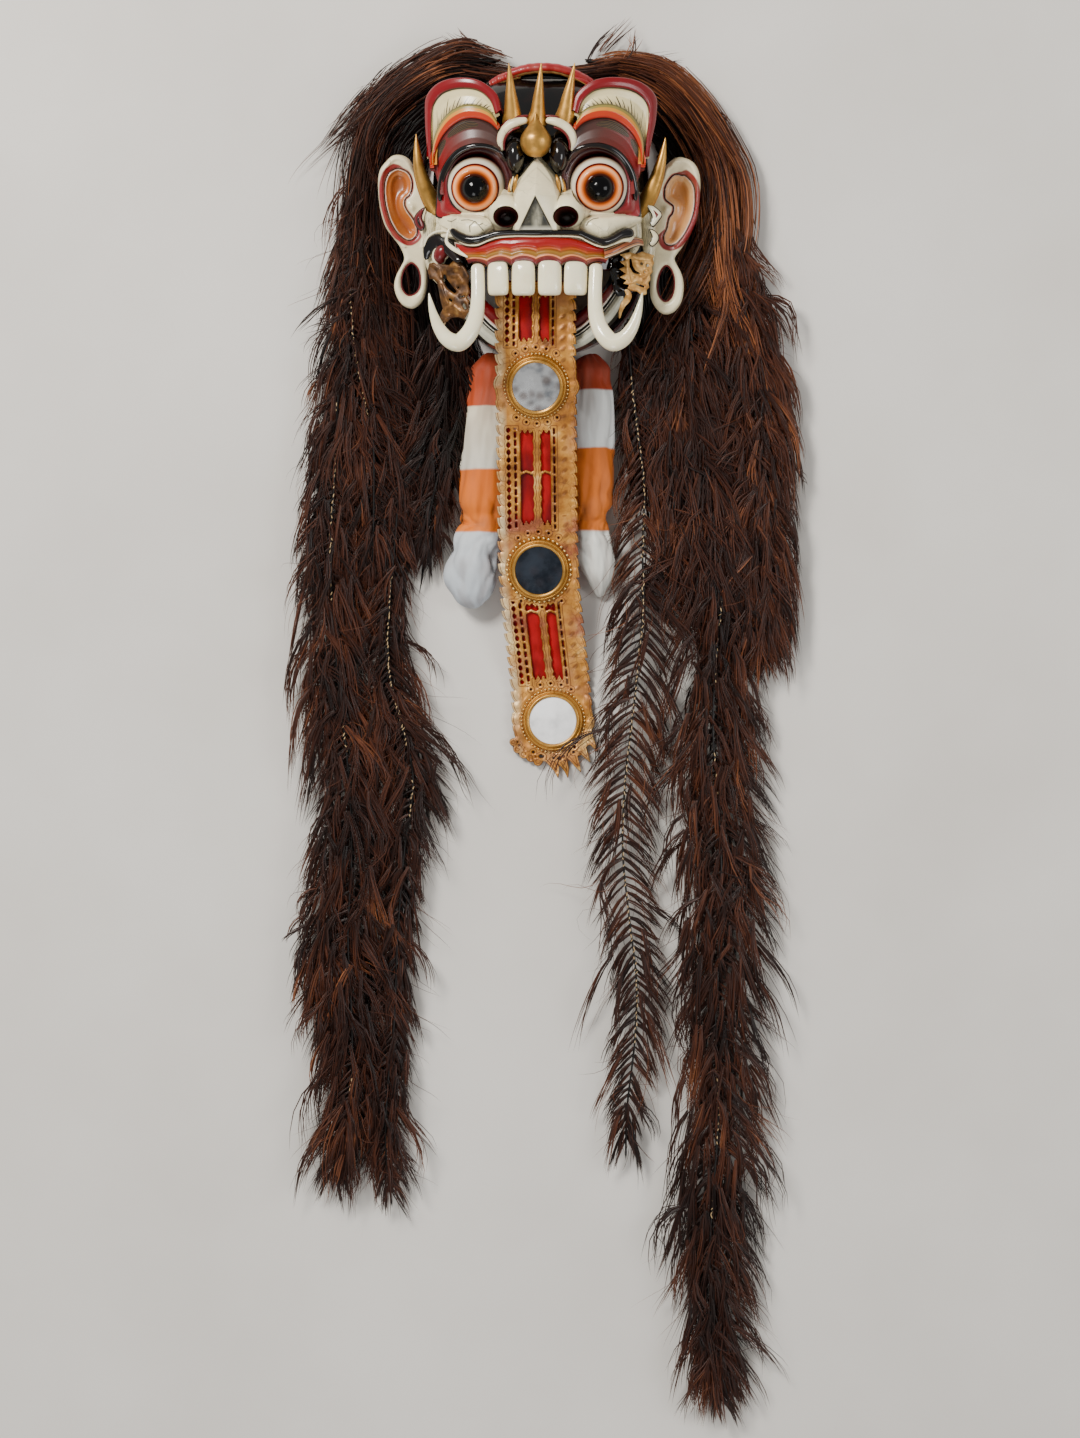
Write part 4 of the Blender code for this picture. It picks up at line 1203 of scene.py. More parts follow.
def cutSheet(name, corners, spacing, inside, place, thickness, fields=None):
    # a sheet cut where inside(x, y) is positive, its edge points drawn onto the cut; place gives heights in mm
    (x0, y0), (x1, y1) = corners
    across, down = int((x1 - x0) / spacing) + 1, int((y1 - y0) / spacing) + 1
    x, y = np.meshgrid(x0 + spacing * np.arange(across), y0 + spacing * np.arange(down))
    x, y = x.ravel(), y.ravel()
    deep = inside(x, y)
    edge = np.abs(deep) < 0.5 * spacing
    nudge = 0.02
    for _ in range(2):
        ex, ey = x[edge], y[edge]
        d = inside(ex, ey)
        gx, gy = inside(ex + nudge, ey) - d, inside(ex, ey + nudge) - d
        scale = d * nudge / np.maximum(gx**2 + gy**2, 1e-8)
        x[edge], y[edge] = ex - np.clip(scale * gx, -spacing, spacing), ey - np.clip(scale * gy, -spacing, spacing)
    kept = (deep > 0) | edge
    number = np.where(kept, np.cumsum(kept) - 1, -1).reshape(down, across)
    corner = np.stack([number[:-1, :-1], number[:-1, 1:], number[1:, 1:], number[1:, :-1]], -1).reshape(-1, 4)
    corner = corner[(corner >= 0).sum(1) >= 3]
    faces = [tuple(c[c >= 0]) for c in corner]
    px, py = x[kept], y[kept]
    points = place(px, py, np.maximum(inside(px, py), 0))
    piece = meshPiece(name, [tuple(at(*p)) for p in np.stack(points, -1)], faces)
    mesh = piece.data
    for key, field in (fields or {}).items():
        keep(piece, key, field(px, py))
    shape = bmesh.new()
    shape.from_mesh(mesh)
    bmesh.ops.delete(shape, geom=[v for v in shape.verts if not v.link_faces], context="VERTS")
    shape.to_mesh(mesh)
    shape.free()
    faceUp(piece)
    # the back lies straight behind the front
    front = np.array([v.co for v in mesh.vertices])
    applyModifier(piece, "SOLIDIFY", thickness=thickness * mm, offset=-1)
    for point, over in zip(mesh.vertices[len(front):], front):
        point.co = over - [0, 0, thickness * mm]
    return closeUp(piece)


# ears

ears = {
    -1: {
        "outline": [
            (-179, 51), (-172, 57.4), (-163.7, 58.7), (-155, 55.8), (-149, 49), (-144, 36), (-136, 20), (-122, 8),
            (-116, -8), (-124, -28), (-131, -50), (-131.5, -69), (-131.7, -90), (-134, -103), (-139, -113),
            (-148.3, -119.5), (-159, -116.7), (-166.5, -107), (-169.8, -94), (-167.5, -82), (-161.8, -70.7),
            (-158.3, -63), (-159.8, -55), (-164.6, -46), (-172.3, -36), (-180, -24.7), (-185.3, -7.4), (-188, 12),
            (-188.2, 31), (-185.5, 42.4),
        ],
        "bowl": [
            (-163.7, 40.5), (-154.5, 36), (-150.3, 25), (-152.2, 14), (-158, 8), (-159, 0), (-156, -7.4), (-150.3, -15),
            (-145.3, -24.7), (-145.3, -34), (-151.2, -39), (-159, -36), (-166.5, -28.5), (-173.3, -15), (-178, 4),
            (-179, 21), (-176, 33), (-170.4, 39),
        ],
        "loop": [
            (-150, -67), (-158, -74), (-161.5, -86), (-160.5, -97), (-154, -104.5), (-146, -103), (-140.5, -96),
            (-139.5, -84), (-142.5, -73),
        ],
        "knob": (-149, -3),
    },
    1: {
        "outline": [
            (148.7, 48), (156, 53.5), (164.1, 54.9), (176.5, 50), (184.2, 38.6), (186.1, 19), (183.2, -11),
            (176.5, -30), (167, -46), (157, -60), (157, -66), (164, -80), (166.6, -94), (164.1, -112), (155.4, -124),
            (143.9, -127), (134.4, -120), (128, -107), (127.7, -90), (128.6, -72), (128, -52), (122, -30), (116, -10),
            (122, 6), (134, 18), (140, 30), (143, 41),
        ],
        "bowl": [
            (164, 32), (169, 31), (176.5, 21), (178.4, 6), (175.6, -13), (167, -32), (157.4, -44), (148, -45),
            (145, -38), (148.7, -28), (151.2, -17), (155.4, -11), (156.4, -2), (151.6, 3), (146.4, 8), (146.8, 19),
            (151.6, 28), (157.4, 33),
        ],
        "loop": [
            (146, -71), (140, -78), (136.5, -92), (138, -104), (144, -112), (151, -110), (155.5, -100), (156, -86),
            (152, -75),
        ],
        "knob": (147, -6),
    },
}


earSheet = {"high": 64.5, "thick": 9, "bottom": -130, "top": 62}


def makeEar(side):
    shape = {key: roundOutline(ears[side][key], 120) for key in ("outline", "bowl", "loop")}
    kx, ky = ears[side]["knob"]

    def inside(x, y):
        return np.minimum(toOutline(x, y, shape["outline"]), -toOutline(x, y, shape["loop"]))

    def place(x, y, deep):
        bowl = toOutline(x, y, shape["bowl"])
        out = np.maximum(-bowl, 0)
        base = earSheet["high"] + 0.12 * (np.abs(x) - 128)
        edge = -5.5 * (1 - np.sqrt(1 - (1 - held(deep / 6)) ** 2))
        groove = -2.2 * hill(out, 1.9, 1.1) - 1.6 * held(1 - out / 8)
        hollow = -10 * (1 - np.exp(-np.maximum(bowl, 0) / 5)) * (bowl > 0)
        helix = 2.4 * hill(deep, 4.5, 2.6) * held(out / 7) * (y > -50)
        knob = 3.5 * np.exp(-(((x - kx) / 4) ** 2) - ((y - ky) / 4.5) ** 2)
        fold = 2.2 * hill(bowl, 5, 2.2) * held((y + 20) / 30) * (bowl > 0)
        return x, y, base + edge + groove + hollow + helix + knob + fold

    def inward(x, y):
        return toOutline(x, y, shape["bowl"])

    def outer(x, y):
        # 1 along the ear's outer and lower rim, where the crimson band is broad
        return held((np.abs(x) - 158) / 12) + held((-28 - y) / 8)

    (left, _), (right, _) = boxed(shape["outline"])
    corners = (left, earSheet["bottom"]), (right, earSheet["top"])
    fields = {"inward": inward, "outer": outer}
    piece = cutSheet(sideName("ear", side), corners, 1.0, inside, place, earSheet["thick"], fields)
    finished(piece, piece.name, stands=nodeName("ear", side))
    ring = roundOutline(ears[side]["loop"], 40)
    ring += ring[:1]

    def wall(u, v):
        return at(*along(ring, u), earSheet["high"] - earSheet["thick"] * v)

    lining = shapedGrid(sideName("lobeLining", side), 60, 4, wall)
    editAll(lining, (bpy.ops.mesh.remove_doubles, {"threshold": weld}))
    applyModifier(lining, "SOLIDIFY", thickness=1.6 * mm, offset=0)
    finished(lining, "deepRed", stands=())


def earPaint(name, bowlColour, bowlShadeColour):
    finish = Finish(name, paints["white"], 0.35, Coat_Weight=0.25, Coat_Roughness=0.2)
    inward = finish.kept("inward")
    outer = finish.kept("outer")
    wobble = finish.wobbled(inward, 1.4, 70, 3)
    # the bowl darkens towards its deepest middle as painted shade
    bowl = finish.over(bowlColour, bowlShadeColour, inward, 1, 9)
    bowl = finish.over(bowl, "9c5a2c", finish.noise(60, 4, stretch=(2, 0.5, 1)), 0.45, 0.7, 0, 0.4)
    colour = finish.over("d8b8a4", bowl, wobble, -0.2, 0.4)
    colour = finish.over(colour, "140a09", wobble, -1.2, -0.9, 1, 0)
    colour = finish.over(colour, "8a1a20", wobble, -2.6, -2.3, 1, 0)
    reach = finish.between(outer, 0, 1, -3.6, -8.2)
    fade = finish.minus(wobble, reach)
    colour = finish.over(colour, paints["white"], fade, -0.8, 0.8, 1, 0)
    ticks = finish.between(finish.noise(120, 3, stretch=(1, 0.06, 1)), 0.62, 0.66, 0, 0.6)
    top = finish.between(finish.split("Object")[1], faceY + 30 * mm, faceY + 36 * mm)
    colour = finish.mix(finish.times(finish.times(ticks, top), finish.between(wobble, -8, -9)), colour, "8a6430")
    agePaint(finish, colour, "8f7850", 0.35)
    return finish


# the second colour of each is the painted shade deep in the bowl
finishes["earLeft"] = earPaint("earPaintLeft", "c06a28", "8e4210")
finishes["earRight"] = earPaint("earPaintRight", "e8b47c", "c47f40")

# teeth, tusks, horns and the gilded drop

teeth = {
    "incisors": {  # number: middle x, half width, top y, bottom y, tilt
        1: (-44.5, 12.3, -70.5, -110, 0.02), 2: (-15, 13.6, -69, -110.5, 0),
        3: (15.4, 13.6, -68.5, -110.5, 0), 4: (45, 13.4, -70, -110, -0.01),
    },
    "square": 0.32, "blunt": 0.5, "flat": 0.8,  # powers that round a tooth's outline, its ends and its face
    "tusk": [
        (68, -73, 146, 7.6), (68, -84, 149, 7.8), (67.5, -98, 152, 7.8), (67.5, -118, 158, 8.2), (69.5, -136, 165, 9),
        (76, -153, 172, 10), (88, -165, 176, 10.4), (101, -161, 178, 9), (111, -148, 178.5, 7), (117, -133, 179, 4.9),
        (120.5, -119, 179, 2.8), (122.5, -108, 178.5, 0.5),
    ],
}


def makeTeeth():
    for number, (middle, half, top, bottom, tilt) in teeth["incisors"].items():
        length = top - bottom

        def place(u, v):
            a, b = circle * u, math.pi * (v - 0.5)
            wide = power(math.cos(b), teeth["blunt"])
            x, y = wide * power(math.cos(a), teeth["square"]), wide * power(math.sin(a), teeth["square"])
            narrow = 1 - 0.05 * max(y, 0) ** 2
            px, py = middle + half * x * narrow - tilt * y * 20, bottom + length / 2 * (1 + y)
            crown = 9 * power(math.sin(b), teeth["flat"]) + 2.2 * math.cos(x * 1.4) - 1.2 * y
            return at(px, py, archDepth(px) - 4.5 + crown)

        tooth = closeUp(shapedGrid(f"incisor{number}", 64, 32, place))
        finished(tooth, "ivory", "ivory_lacquer", f"tooth_{number}")
    for side in (-1, 1):
        piece = tube(sideName("tusk", side), mirrored(teeth["tusk"], side), 110, 32, (1, 0.92), (0.7, 1))
        finished(piece, "ivory", "ivory_lacquer", nodeName("tusk", side))


horns = {
    "horn_left": [
        (-28, 84, 136, 11.4), (-28.5, 93, 139, 11.6), (-29, 106, 143, 9.2), (-30, 124, 147, 6.2), (-31, 142, 150, 3.2),
        (-32, 158, 152, 0.4),
    ],
    "horn_middle": [
        (-1, 84, 138, 12.5), (-0.5, 92, 141, 12), (1, 104, 145, 8.4), (2.5, 122, 148.5, 6.0), (4, 141, 151, 3.1),
        (5.5, 158, 152.5, 0.4),
    ],
    "horn_right": [
        (30, 82, 136, 12), (31.5, 92, 139, 12.4), (34, 105, 143, 9.8), (37, 123, 147, 6.6), (40.5, 141, 150, 3.3),
        (44, 158, 152, 0.4),
    ],
    "temple_horn_left": [
        (-117, -11, 88, 10.4), (-121, -4, 92, 10.6), (-129.5, 13, 99, 9.8), (-136, 31, 103, 8), (-139.5, 50, 106, 5.6),
        (-141, 66, 107.5, 3), (-141.5, 80, 108, 0.4),
    ],
    "temple_horn_right": [
        (115, -13, 88, 10.4), (120, -6, 92, 10.6), (129.5, 11, 99, 9.8), (137, 29, 103, 8), (142, 47, 106, 5.6),
        (145, 62, 107.5, 3), (147, 75, 108, 0.4),
    ],
}


drop = {  # the gilded drop between the hoods, and its (radius, height) profile
    "middle": (-1, 68, 152),
    "profile": [
        (0, -19), (8, -17.6), (14, -13), (17, -7), (18, -1), (17.4, 4), (15.5, 8), (11, 14.5), (6.5, 20), (3, 26),
        (0, 33),
    ],
}
hornRings = {-1: (-119, -9, 91), 1: (117, -11, 91)}  # side: middle of the ring at the foot of the temple horn


def makeHorns():
    for node, route in horns.items():
        def carving(u, v):
            return 0.012 * math.sin(circle * (3 * u + v)) + 0.01 * math.sin(circle * (5 * v + u))

        finished(tube(pieceName(node), route, 80, 28, (1, 0.95), (0.5, 1), carving), "gold", "gilded_wood", node)

    def place(u, v):
        radius, lift = along(drop["profile"], v)
        x, y, z = drop["middle"]
        angle = circle * u
        return at(x + radius * math.cos(angle), y + lift, z + 0.1 * lift + radius * math.sin(angle) * 0.95)

    piece = closeUp(shapedGrid("goldDrop", 56, 60, place))
    finished(piece, "gold", "gilded_wood", "forehead_drop")
    for side, (x, y, z) in hornRings.items():
        ring = [(x + side * 7 * math.sin(t) - 2, y + 9.5 * math.cos(t), z + 2, 1.2) for t in np.linspace(0.3, 2.9, 9)]
        finished(tube(sideName("hornRing", side), ring, 24, 8), "ivory", "ivory_lacquer", ())


# the leather band at the crown

def bandPaint():
    finish = Finish("bandPaint", "a01c20", 0.5, Coat_Weight=0.15)
    v = finish.split()[1]
    bands = finish.ramp(v, [
        (0, "5a2410"), (0.04, "b87a2c"), (0.12, "d4a860"), (0.15, "5c1808"), (0.18, "94100c"), (0.34, "8a0e14"),
        (0.42, "a8303a"), (0.5, "6a1012"), (1, "2a0808"),
    ])
    wear = finish.between(finish.noise(50, 5, rough=0.7), 0.5, 0.7, 0, 0.3)
    finish.set("Base Color", finish.mix(wear, bands, "a05848"))
    finish.bump(finish.noise(260, 4), 0.4, 0.4)
    return finish


finishes["band"] = bandPaint()


band = {
    "strips": {
        "crownBand": [
            (-33, 152, 68, 4.4), (-16, 156.5, 72, 4.8), (2, 158, 74, 4.8), (22, 156.5, 72, 4.8), (42, 150, 67, 4.6),
            (60, 141, 60, 4.2),
        ],
        "crownBandEnd": [(-58, 140, 58, 3.6), (-47, 145.5, 62, 4.4), (-34, 149.5, 66, 4.6), (-22, 152, 68, 4.2)],
    },
    "rods": {
        "crownBandFold": (
            "band", 40, 14, (1, 0.7), [(38, 148, 74, 0.8), (50, 143, 73, 2.4), (60, 137, 68, 2.6), (66, 132, 62, 1)],
        ),
    },
    "pad": {
        "crownPad": (
            "black", 60, 20, (1, 1),
            [(-66, 136, 46, 6), (-44, 143, 50, 10), (0, 149, 53, 11), (44, 143, 50, 10), (66, 134, 46, 6)],
        ),
    },
}


def makeBand():
    for number, (name, route) in enumerate(band["strips"].items()):
        def frayed(u, v):
            return 0.05 * math.sin(31 * u + 3 * number) * math.sin(circle * v) + 0.03 * math.sin(57 * u)

        finished(tube(name, route, 90, 28, (1.3, 1.7), (0.5, 0.5), frayed), "band", "red_leather", "crown_band", 50)
    rods(band["rods"], slot="red_leather", stands="crown_band", angle=50)
    rods(band["pad"])


for side in (-1, 1):
    makeEar(side)
makeTeeth()
makeHorns()
makeBand()
print("ears, teeth and horns made")

# the tongue: gilded cut leather over red cloth, with three mirrors

tongue = {
    "fall": [  # y and height of the leather's underside
        (-88, 108), (-128, 112.5), (-150, 114), (-171, 114), (-256, 88), (-320, 67), (-384, 51), (-464, 33), (-515, 16),
        (-558, 4), (-700, 4),
    ],
    "edge": 42.5,
    "leaf": 13.4,  # length of one leaf of the scalloped edge
    "mirrors": {"upper": (-211.5, 50), "middle": (-423, 46), "lower": (-599, 49)},  # y and how far its flange reaches
    "windows": [(-106, -162), (-262, -372), (-462, -552)],  # top and bottom of each row of openings
    "inner": (-4.6, 4.0),  # edges of the stem between the windows
    "outer": (-19.5, 15.2),
    "thick": 3,
}


fringe = {  # the lower end: scallops and holes as (x, y, radius), flames as strokes
    "scallops": [(-29, -632, 5.2), (-22, -638, 5.2), (-13.5, -642, 5.2), (-5, -646.5, 5.4), (-34, -624, 4.6)],
    "flames": [
        [(2, -634, 8), (10, -644, 6.5), (16, -655, 3.6), (18.5, -666, 0.4)],
        [(14, -632, 8), (22, -643, 6.5), (28, -655, 3.6), (30, -666, 0.4)],
        [(26, -630, 8), (35, -640, 6), (41, -651, 3.2), (45, -659, 0.4)],
        [(37, -622, 8), (46, -631, 5.6), (52, -641, 3), (56.5, -648, 0.4)],
        [(46, -612, 7), (55, -619, 5), (61, -629, 2.6), (65, -636, 0.4)],
    ],
    "holes": [(-1.5, -640.5, 2.2), (20, -643, 2.2), (-27, -628, 1.2), (38, -630, 1.5)],
}


def tongueMiddle(y):
    t = held((-400 - y) / 220)
    return -2.5 + 15.5 * t * t * (3 - 2 * t)


def tongueHeight(y):
    flip = tongue["fall"][::-1]
    return np.interp(y, [p[0] for p in flip], [p[1] for p in flip])


def leatherInside(x, y):
    s = x - tongueMiddle(y)
    left = s < 0
    t = ((y + np.where(left, 0, 5)) / tongue["leaf"]) % 1
    leaning = 5.5 * np.sqrt(held(1 - (1 - t) ** 2.2)) * (t < 0.93)
    leaf = np.where(left, leaning, 4.4 * np.sqrt(held(1 - t**2.4)) * (t > 0.06))
    body = tongue["edge"] + leaf - np.abs(s)
    body = np.minimum(body, np.minimum(-92 - y, y + 640))
    for my, reach in tongue["mirrors"].values():
        away = np.hypot(s, y - my)
        angle = np.arctan2(y - my, s)
        lobes = 0.5 + 0.5 * np.cos(14 * angle + 0.6)
        body = np.maximum(body, reach - 3.4 * (1 - np.sqrt(lobes)) - away)
    end = held((-606 - y) / 12)
    body = np.where(end > 0, np.minimum(body, 50 + 2 * np.sin(y) - np.hypot(s, y + 599)), body)
    for x0, y0, radius in fringe["scallops"]:
        body = np.maximum(body, radius - np.hypot(x - x0, y - y0))
    for flame in fringe["flames"]:
        body = np.maximum(body, toStroke(x, y, flame))
    # windows, with a wavy stem and saw-toothed ends
    inner, outer = tongue["inner"], tongue["outer"]
    for top, bottom in tongue["windows"]:
        wave = 1.7 * np.abs(np.sin(math.pi * (y - top) / 13.2)) ** 0.6
        saw = 5.5 * np.abs((s / 6.2 + 0.25) % 1 - 0.5) * 2
        tall = np.minimum(top - 1.0 * saw - y, y - bottom - 1.3 * saw)
        opening = np.maximum(
            np.minimum(s - outer[0], inner[0] - 1.5 + wave - s), np.minimum(s - inner[1] - 1.5 + wave, outer[1] - s)
        )
        opening = np.minimum(opening, tall)
        if bottom < -300:
            middle = (top + bottom) / 2 + (5 if bottom > -400 else 34)
            crossing = 1.3 - np.abs(y - middle - 2.4 * np.abs(((s + 2) / 5.5) % 2 - 1)) * 0.8
            opening = np.minimum(opening, -crossing)
        body = np.minimum(body, -opening)
        rows = np.minimum(top + 2 - y, y - bottom + 4)
        dots = 2.5 - np.hypot((s + 33.4) * 1.15, ((y / 8.6) % 1 - 0.5) * 8.6 * 0.8)
        slits = np.minimum(1.5 - np.abs(s + 25.6), 3.3 - np.abs((y / 9.4 % 1 - 0.5) * 9.4))
        thin = np.minimum(1.1 - np.abs(s - 19.6), 4.4 - np.abs((y / 11.2 % 1 - 0.5) * 11.2))
        body = np.minimum(body, -np.minimum(np.maximum(np.maximum(dots, slits), thin), rows))
    for hx, hy, radius in fringe["holes"]:
        body = np.minimum(body, np.hypot(x - hx, y - hy) - radius)
    for my, _ in tongue["mirrors"].values():
        # small openings round each mirror, none on its sides
        angle = np.arctan2(y - my, s)
        step = (angle * 11 / math.pi) % 1 - 0.5
        hole = 1.5 - np.hypot(np.hypot(s, y - my) - 43.5, step * 12)
        body = np.minimum(body, -np.where(np.abs(np.sin(angle)) > 0.72, hole, -9))
    return body


def leatherLump(x, y):
    # slanting leaves embossed between the openings and the right edge
    s = x - tongueMiddle(y)
    turn = (y / 12.6) % 1 - 0.5
    lean = (s - 31.5) / 4.4 - 1.6 * turn
    return np.where(s > 22, held(1 - np.hypot(lean, turn * 2.6)) * (np.abs(np.sin(y / 37)) > 0.3), 0)


def leatherPlace(x, y, deep):
    s = x - tongueMiddle(y)
    z = tongueHeight(y) + tongue["thick"]
    z = z + 0.9 * hill(deep, 1.3, 0.7) - 0.7 * held(1 - deep)
    leaf = ((y + np.where(s < 0, 0, 5)) / tongue["leaf"]) % 1
    edge = held((np.abs(s) - 37) / 3)
    z = z + edge * 1.6 * np.sin(math.pi * leaf) * held(deep / 2)
    z = z + 1.1 * leatherLump(x, y)
    for my, _ in tongue["mirrors"].values():
        away, angle = np.hypot(s, y - my), np.arctan2(y - my, s)
        ring = hill(away, 43, 3.2)
        z = z + ring * 1.4 * (0.5 + 0.5 * np.cos(14 * angle + 0.6)) + 1.0 * hill(away, 39.5, 0.9)
    tip = held((-626 - y) / 20)
    z = z + 2.5 * tip * np.sin((x + 0.6 * y) / 4.2) * held(deep / 3)
    return x, y, z


def leatherPaint():
    # gilding over reddish leather, worn through at raised edges and browned in hollows
    finish = Finish("gildedLeather", "c79a5b", 0.42, Metallic=0.35)
    edge = finish.kept("edge")
    shift = finish.kept("shift")
    y = finish.fromFace(1)
    golds = [(0.3, "6e4012"), (0.44, "a86c26"), (0.58, "cc903e"), (0.72, "f2cc84")]
    gold = finish.ramp(finish.noise(26, 5, rough=0.65), golds)
    pink = finish.between(finish.noise(18, 4), 0.52, 0.66, 0, 0.3)
    gold = finish.mix(pink, gold, "cf9478")
    worn = finish.math("MAXIMUM", finish.band(y, -488, 8, 8), finish.band(y, -372, 5, 9))
    worn = finish.math("MAXIMUM", finish.band(y, -402, 4, 10), worn)
    worn = finish.times(worn, finish.between(finish.noise(30, 4), 0.42, 0.58, 0, 0.75))
    gold = finish.mix(worn, gold, "8a4034")
    bright = finish.times(finish.between(shift, -34, -40), finish.between(finish.noise(20, 2), 0.4, 0.6, 0.05, 0.55))
    gold = finish.mix(bright, gold, "f0e2b4")
    colour = finish.over(gold, "4a2412", edge, 0.1, 0.5, 0.9, 0)
    colour = finish.mix(finish.band(edge, 2.7, 0.15, 0.5), colour, "6e3d1a")
    # tooled lines in places, and dark hollows beside the right edge
    carved = finish.add("ShaderNodeTexVoronoi", {"feature": "DISTANCE_TO_EDGE"}, Vector=finish.place(), Scale=120.0)[0]
    lines = finish.times(finish.between(carved, 0, 0.08, 1, 0), finish.between(edge, 3.2, 4.2))
    lines = finish.times(lines, finish.between(finish.noise(30, 2), 0.48, 0.56))
    colour = finish.mix(finish.times(lines, 0.5), colour, "5a3014")
    lump = finish.kept("lump")
    colour = finish.over(colour, "6b3a12", lump, 0.2, 0.5, 0, 0.6)
    finish.set("Base Color", colour)
    finish.roughen(90, 0.32, 0.55)
    finish.bump(lines, -0.6, 0.4)
    finish.bump(finish.noise(500, 3), 0.2, 0.2)
    return finish


def clothPaint():
    finish = Finish("redCloth", "98030c", 0.75, Specular_IOR_Level=0.25)
    shadeOver = finish.noise(18, 4, stretch=(2.2, 0.6, 1))
    finish.set("Base Color", finish.ramp(shadeOver, [(0.3, "3c0103"), (0.5, "840108"), (0.7, "b4040c")]))
    weave = finish.add("ShaderNodeTexWave", {"bands_direction": "Y"}, Vector=finish.place(), Scale=420.0)[1]
    finish.bump(weave, 0.25, 0.15)
    return finish


finishes["leather"] = leatherPaint()
finishes["redCloth"] = clothPaint()


def makeTongue():
    fields = {"edge": leatherInside, "shift": lambda x, y: x - tongueMiddle(y), "lump": leatherLump}
    corners = (-56, -670), (72, -90)
    leather = cutSheet("tongueLeather", corners, 1.3, leatherInside, leatherPlace, tongue["thick"], fields)
    finished(leather, "leather", "gilded_leather", "tongue_leather", 50)

    def place(u, v):
        y = -90 - 545 * v
        half = 40.5 * (1 - 0.25 * smoothStep(0.94, 1, v))
        x = float(tongueMiddle(y)) + half * (2 * u - 1)
        ripple = 0.55 * math.sin(0.21 * y + 2.2 * math.sin(0.05 * y + 3 * u)) + 0.4 * math.sin(0.11 * y + 9 * u)
        return at(x, y, float(tongueHeight(y)) - 0.8 + ripple)

    cloth = plate("tongueCloth", 26, 220, place, 1.4)
    finished(cloth, "redCloth", "red_cloth", "tongue_cloth")


mirrors = {
    "glass": 28,
    "rim": [
        (27.6, 3.4), (27.4, 6.2), (28.2, 7.4), (29.6, 8.0), (31.0, 7.2), (31.6, 5.4), (32.1, 4.9), (32.7, 5.6),
        (33.6, 6.0), (34.4, 5.2), (34.9, 3.2), (35.1, 0.3), (33, 0.3), (27.6, 0.3),
    ],
    "milled": (32.3, 34.7, 0.45),  # the milled ring of the rim: where it starts and ends, and how deep it is cut
    "rope": (37, 1.6),  # radius and height of the bead round the rim
    "beads": {"upper": (52, 1.2), "middle": (40, 1.7), "lower": (52, 1.2)},  # how many, and their radius
}


def glassPaint(name, dark, light, blotch, roughness):
    finish = Finish(name, light, roughness, Metallic=1.0)
    # the glass's colour and brightness stand for the reflection it shows, a painted reflection; the brown flakes are
    # lost silvering
    cloud = finish.noise(38, 5, rough=0.6)
    colour = finish.ramp(cloud, [(0.3, dark), (0.5, light), (0.7, light)])
    flakes = finish.add("ShaderNodeTexVoronoi", {"feature": "F1"}, Vector=finish.place(), Scale=70.0)[0]
    colour = finish.over(colour, "6b4a3a", flakes, 0.2, 0.55, blotch, 0)
    finish.set("Base Color", colour)
    finish.set("Roughness", finish.between(cloud, 0.35, 0.65, roughness, roughness + 0.2))
    finish.bump(finish.noise(20, 2), 0.12, 1.0)
    return finish


# each mirror gets its own painted reflection: the upper pale, the middle dark, the lower a matte white
finishes["glassUpper"] = glassPaint("glassUpper", "a3a9b2", "f2f4f6", 0.6, 0.1)
finishes["glassMiddle"] = glassPaint("glassMiddle", "343a44", "454c57", 0.1, 0.2)
finishes["glassLower"] = glassPaint("glassLower", "ffffff", "ffffff", 0.0, 0.45)
finishes["bezel"] = antiqueGold("bezelGold", "c08f45", "5a3412", 0.38)
finishes["bead"] = antiqueGold("beadGold", "e6c987", "7a5020", 0.3)


def makeMirror(label, y):
    x, z = float(tongueMiddle(y)), float(tongueHeight(y)) + tongue["thick"]
    slope = float(tongueHeight(y + 5) - tongueHeight(y - 5)) / 10

    def tilted(dx, dy, lift):
        return at(x + dx, y + dy - slope * lift, z + lift + slope * dy)

    def glass(u, v):
        radius = mirrors["glass"] * (min(v / 0.88, 1) if v < 1 else 0)
        high = 5.6 + 0.5 * (1 - v * v) if v < 0.91 else 3.2
        return tilted(radius * math.cos(circle * u), radius * math.sin(circle * u), high)

    disc = closeUp(shapedGrid(f"mirrorGlass{label.title()}", 56, 14, glass))
    finished(disc, f"glass{label.title()}", "mirror_glass", f"mirror_{label}")
    profile = mirrors["rim"] + mirrors["rim"][:1]
    inner, outer, depth = mirrors["milled"]

    def rim(u, v):
        radius, high = along(profile, v)
        angle = circle * u
        cut = depth * abs(math.sin(30 * angle)) if inner < radius < outer else 0
        return tilted(radius * math.cos(angle), radius * math.sin(angle), high - cut)

    ring = closeUp(shapedGrid(f"mirrorRim{label.title()}", 144, 42, rim))
    finished(ring, "bezel", "gilded_leather", f"mirror_rim_{label}")
    # a roped bead round the rim
    (beads, size), (reach, lift) = mirrors["beads"][label], mirrors["rope"]
    bpy.ops.object.select_all(action="DESELECT")
    made = []
    for k in range(beads):
        angle = circle * k / beads
        place = tilted(reach * math.cos(angle), reach * math.sin(angle), lift)
        bpy.ops.mesh.primitive_uv_sphere_add(segments=10, ring_count=6, radius=size * mm, location=place)
        made.append(bpy.context.object)
    for bead in made:
        bead.select_set(True)
    bpy.ops.object.join()
    bpy.ops.object.transform_apply(location=True)
    finished(named(f"mirrorBeads{label.title()}"), "bead", "gilded_leather", f"mirror_rim_{label}")


makeTongue()
for label, (y, _) in tongue["mirrors"].items():
    makeMirror(label, y)

# the padded cloth rolls under the tongue

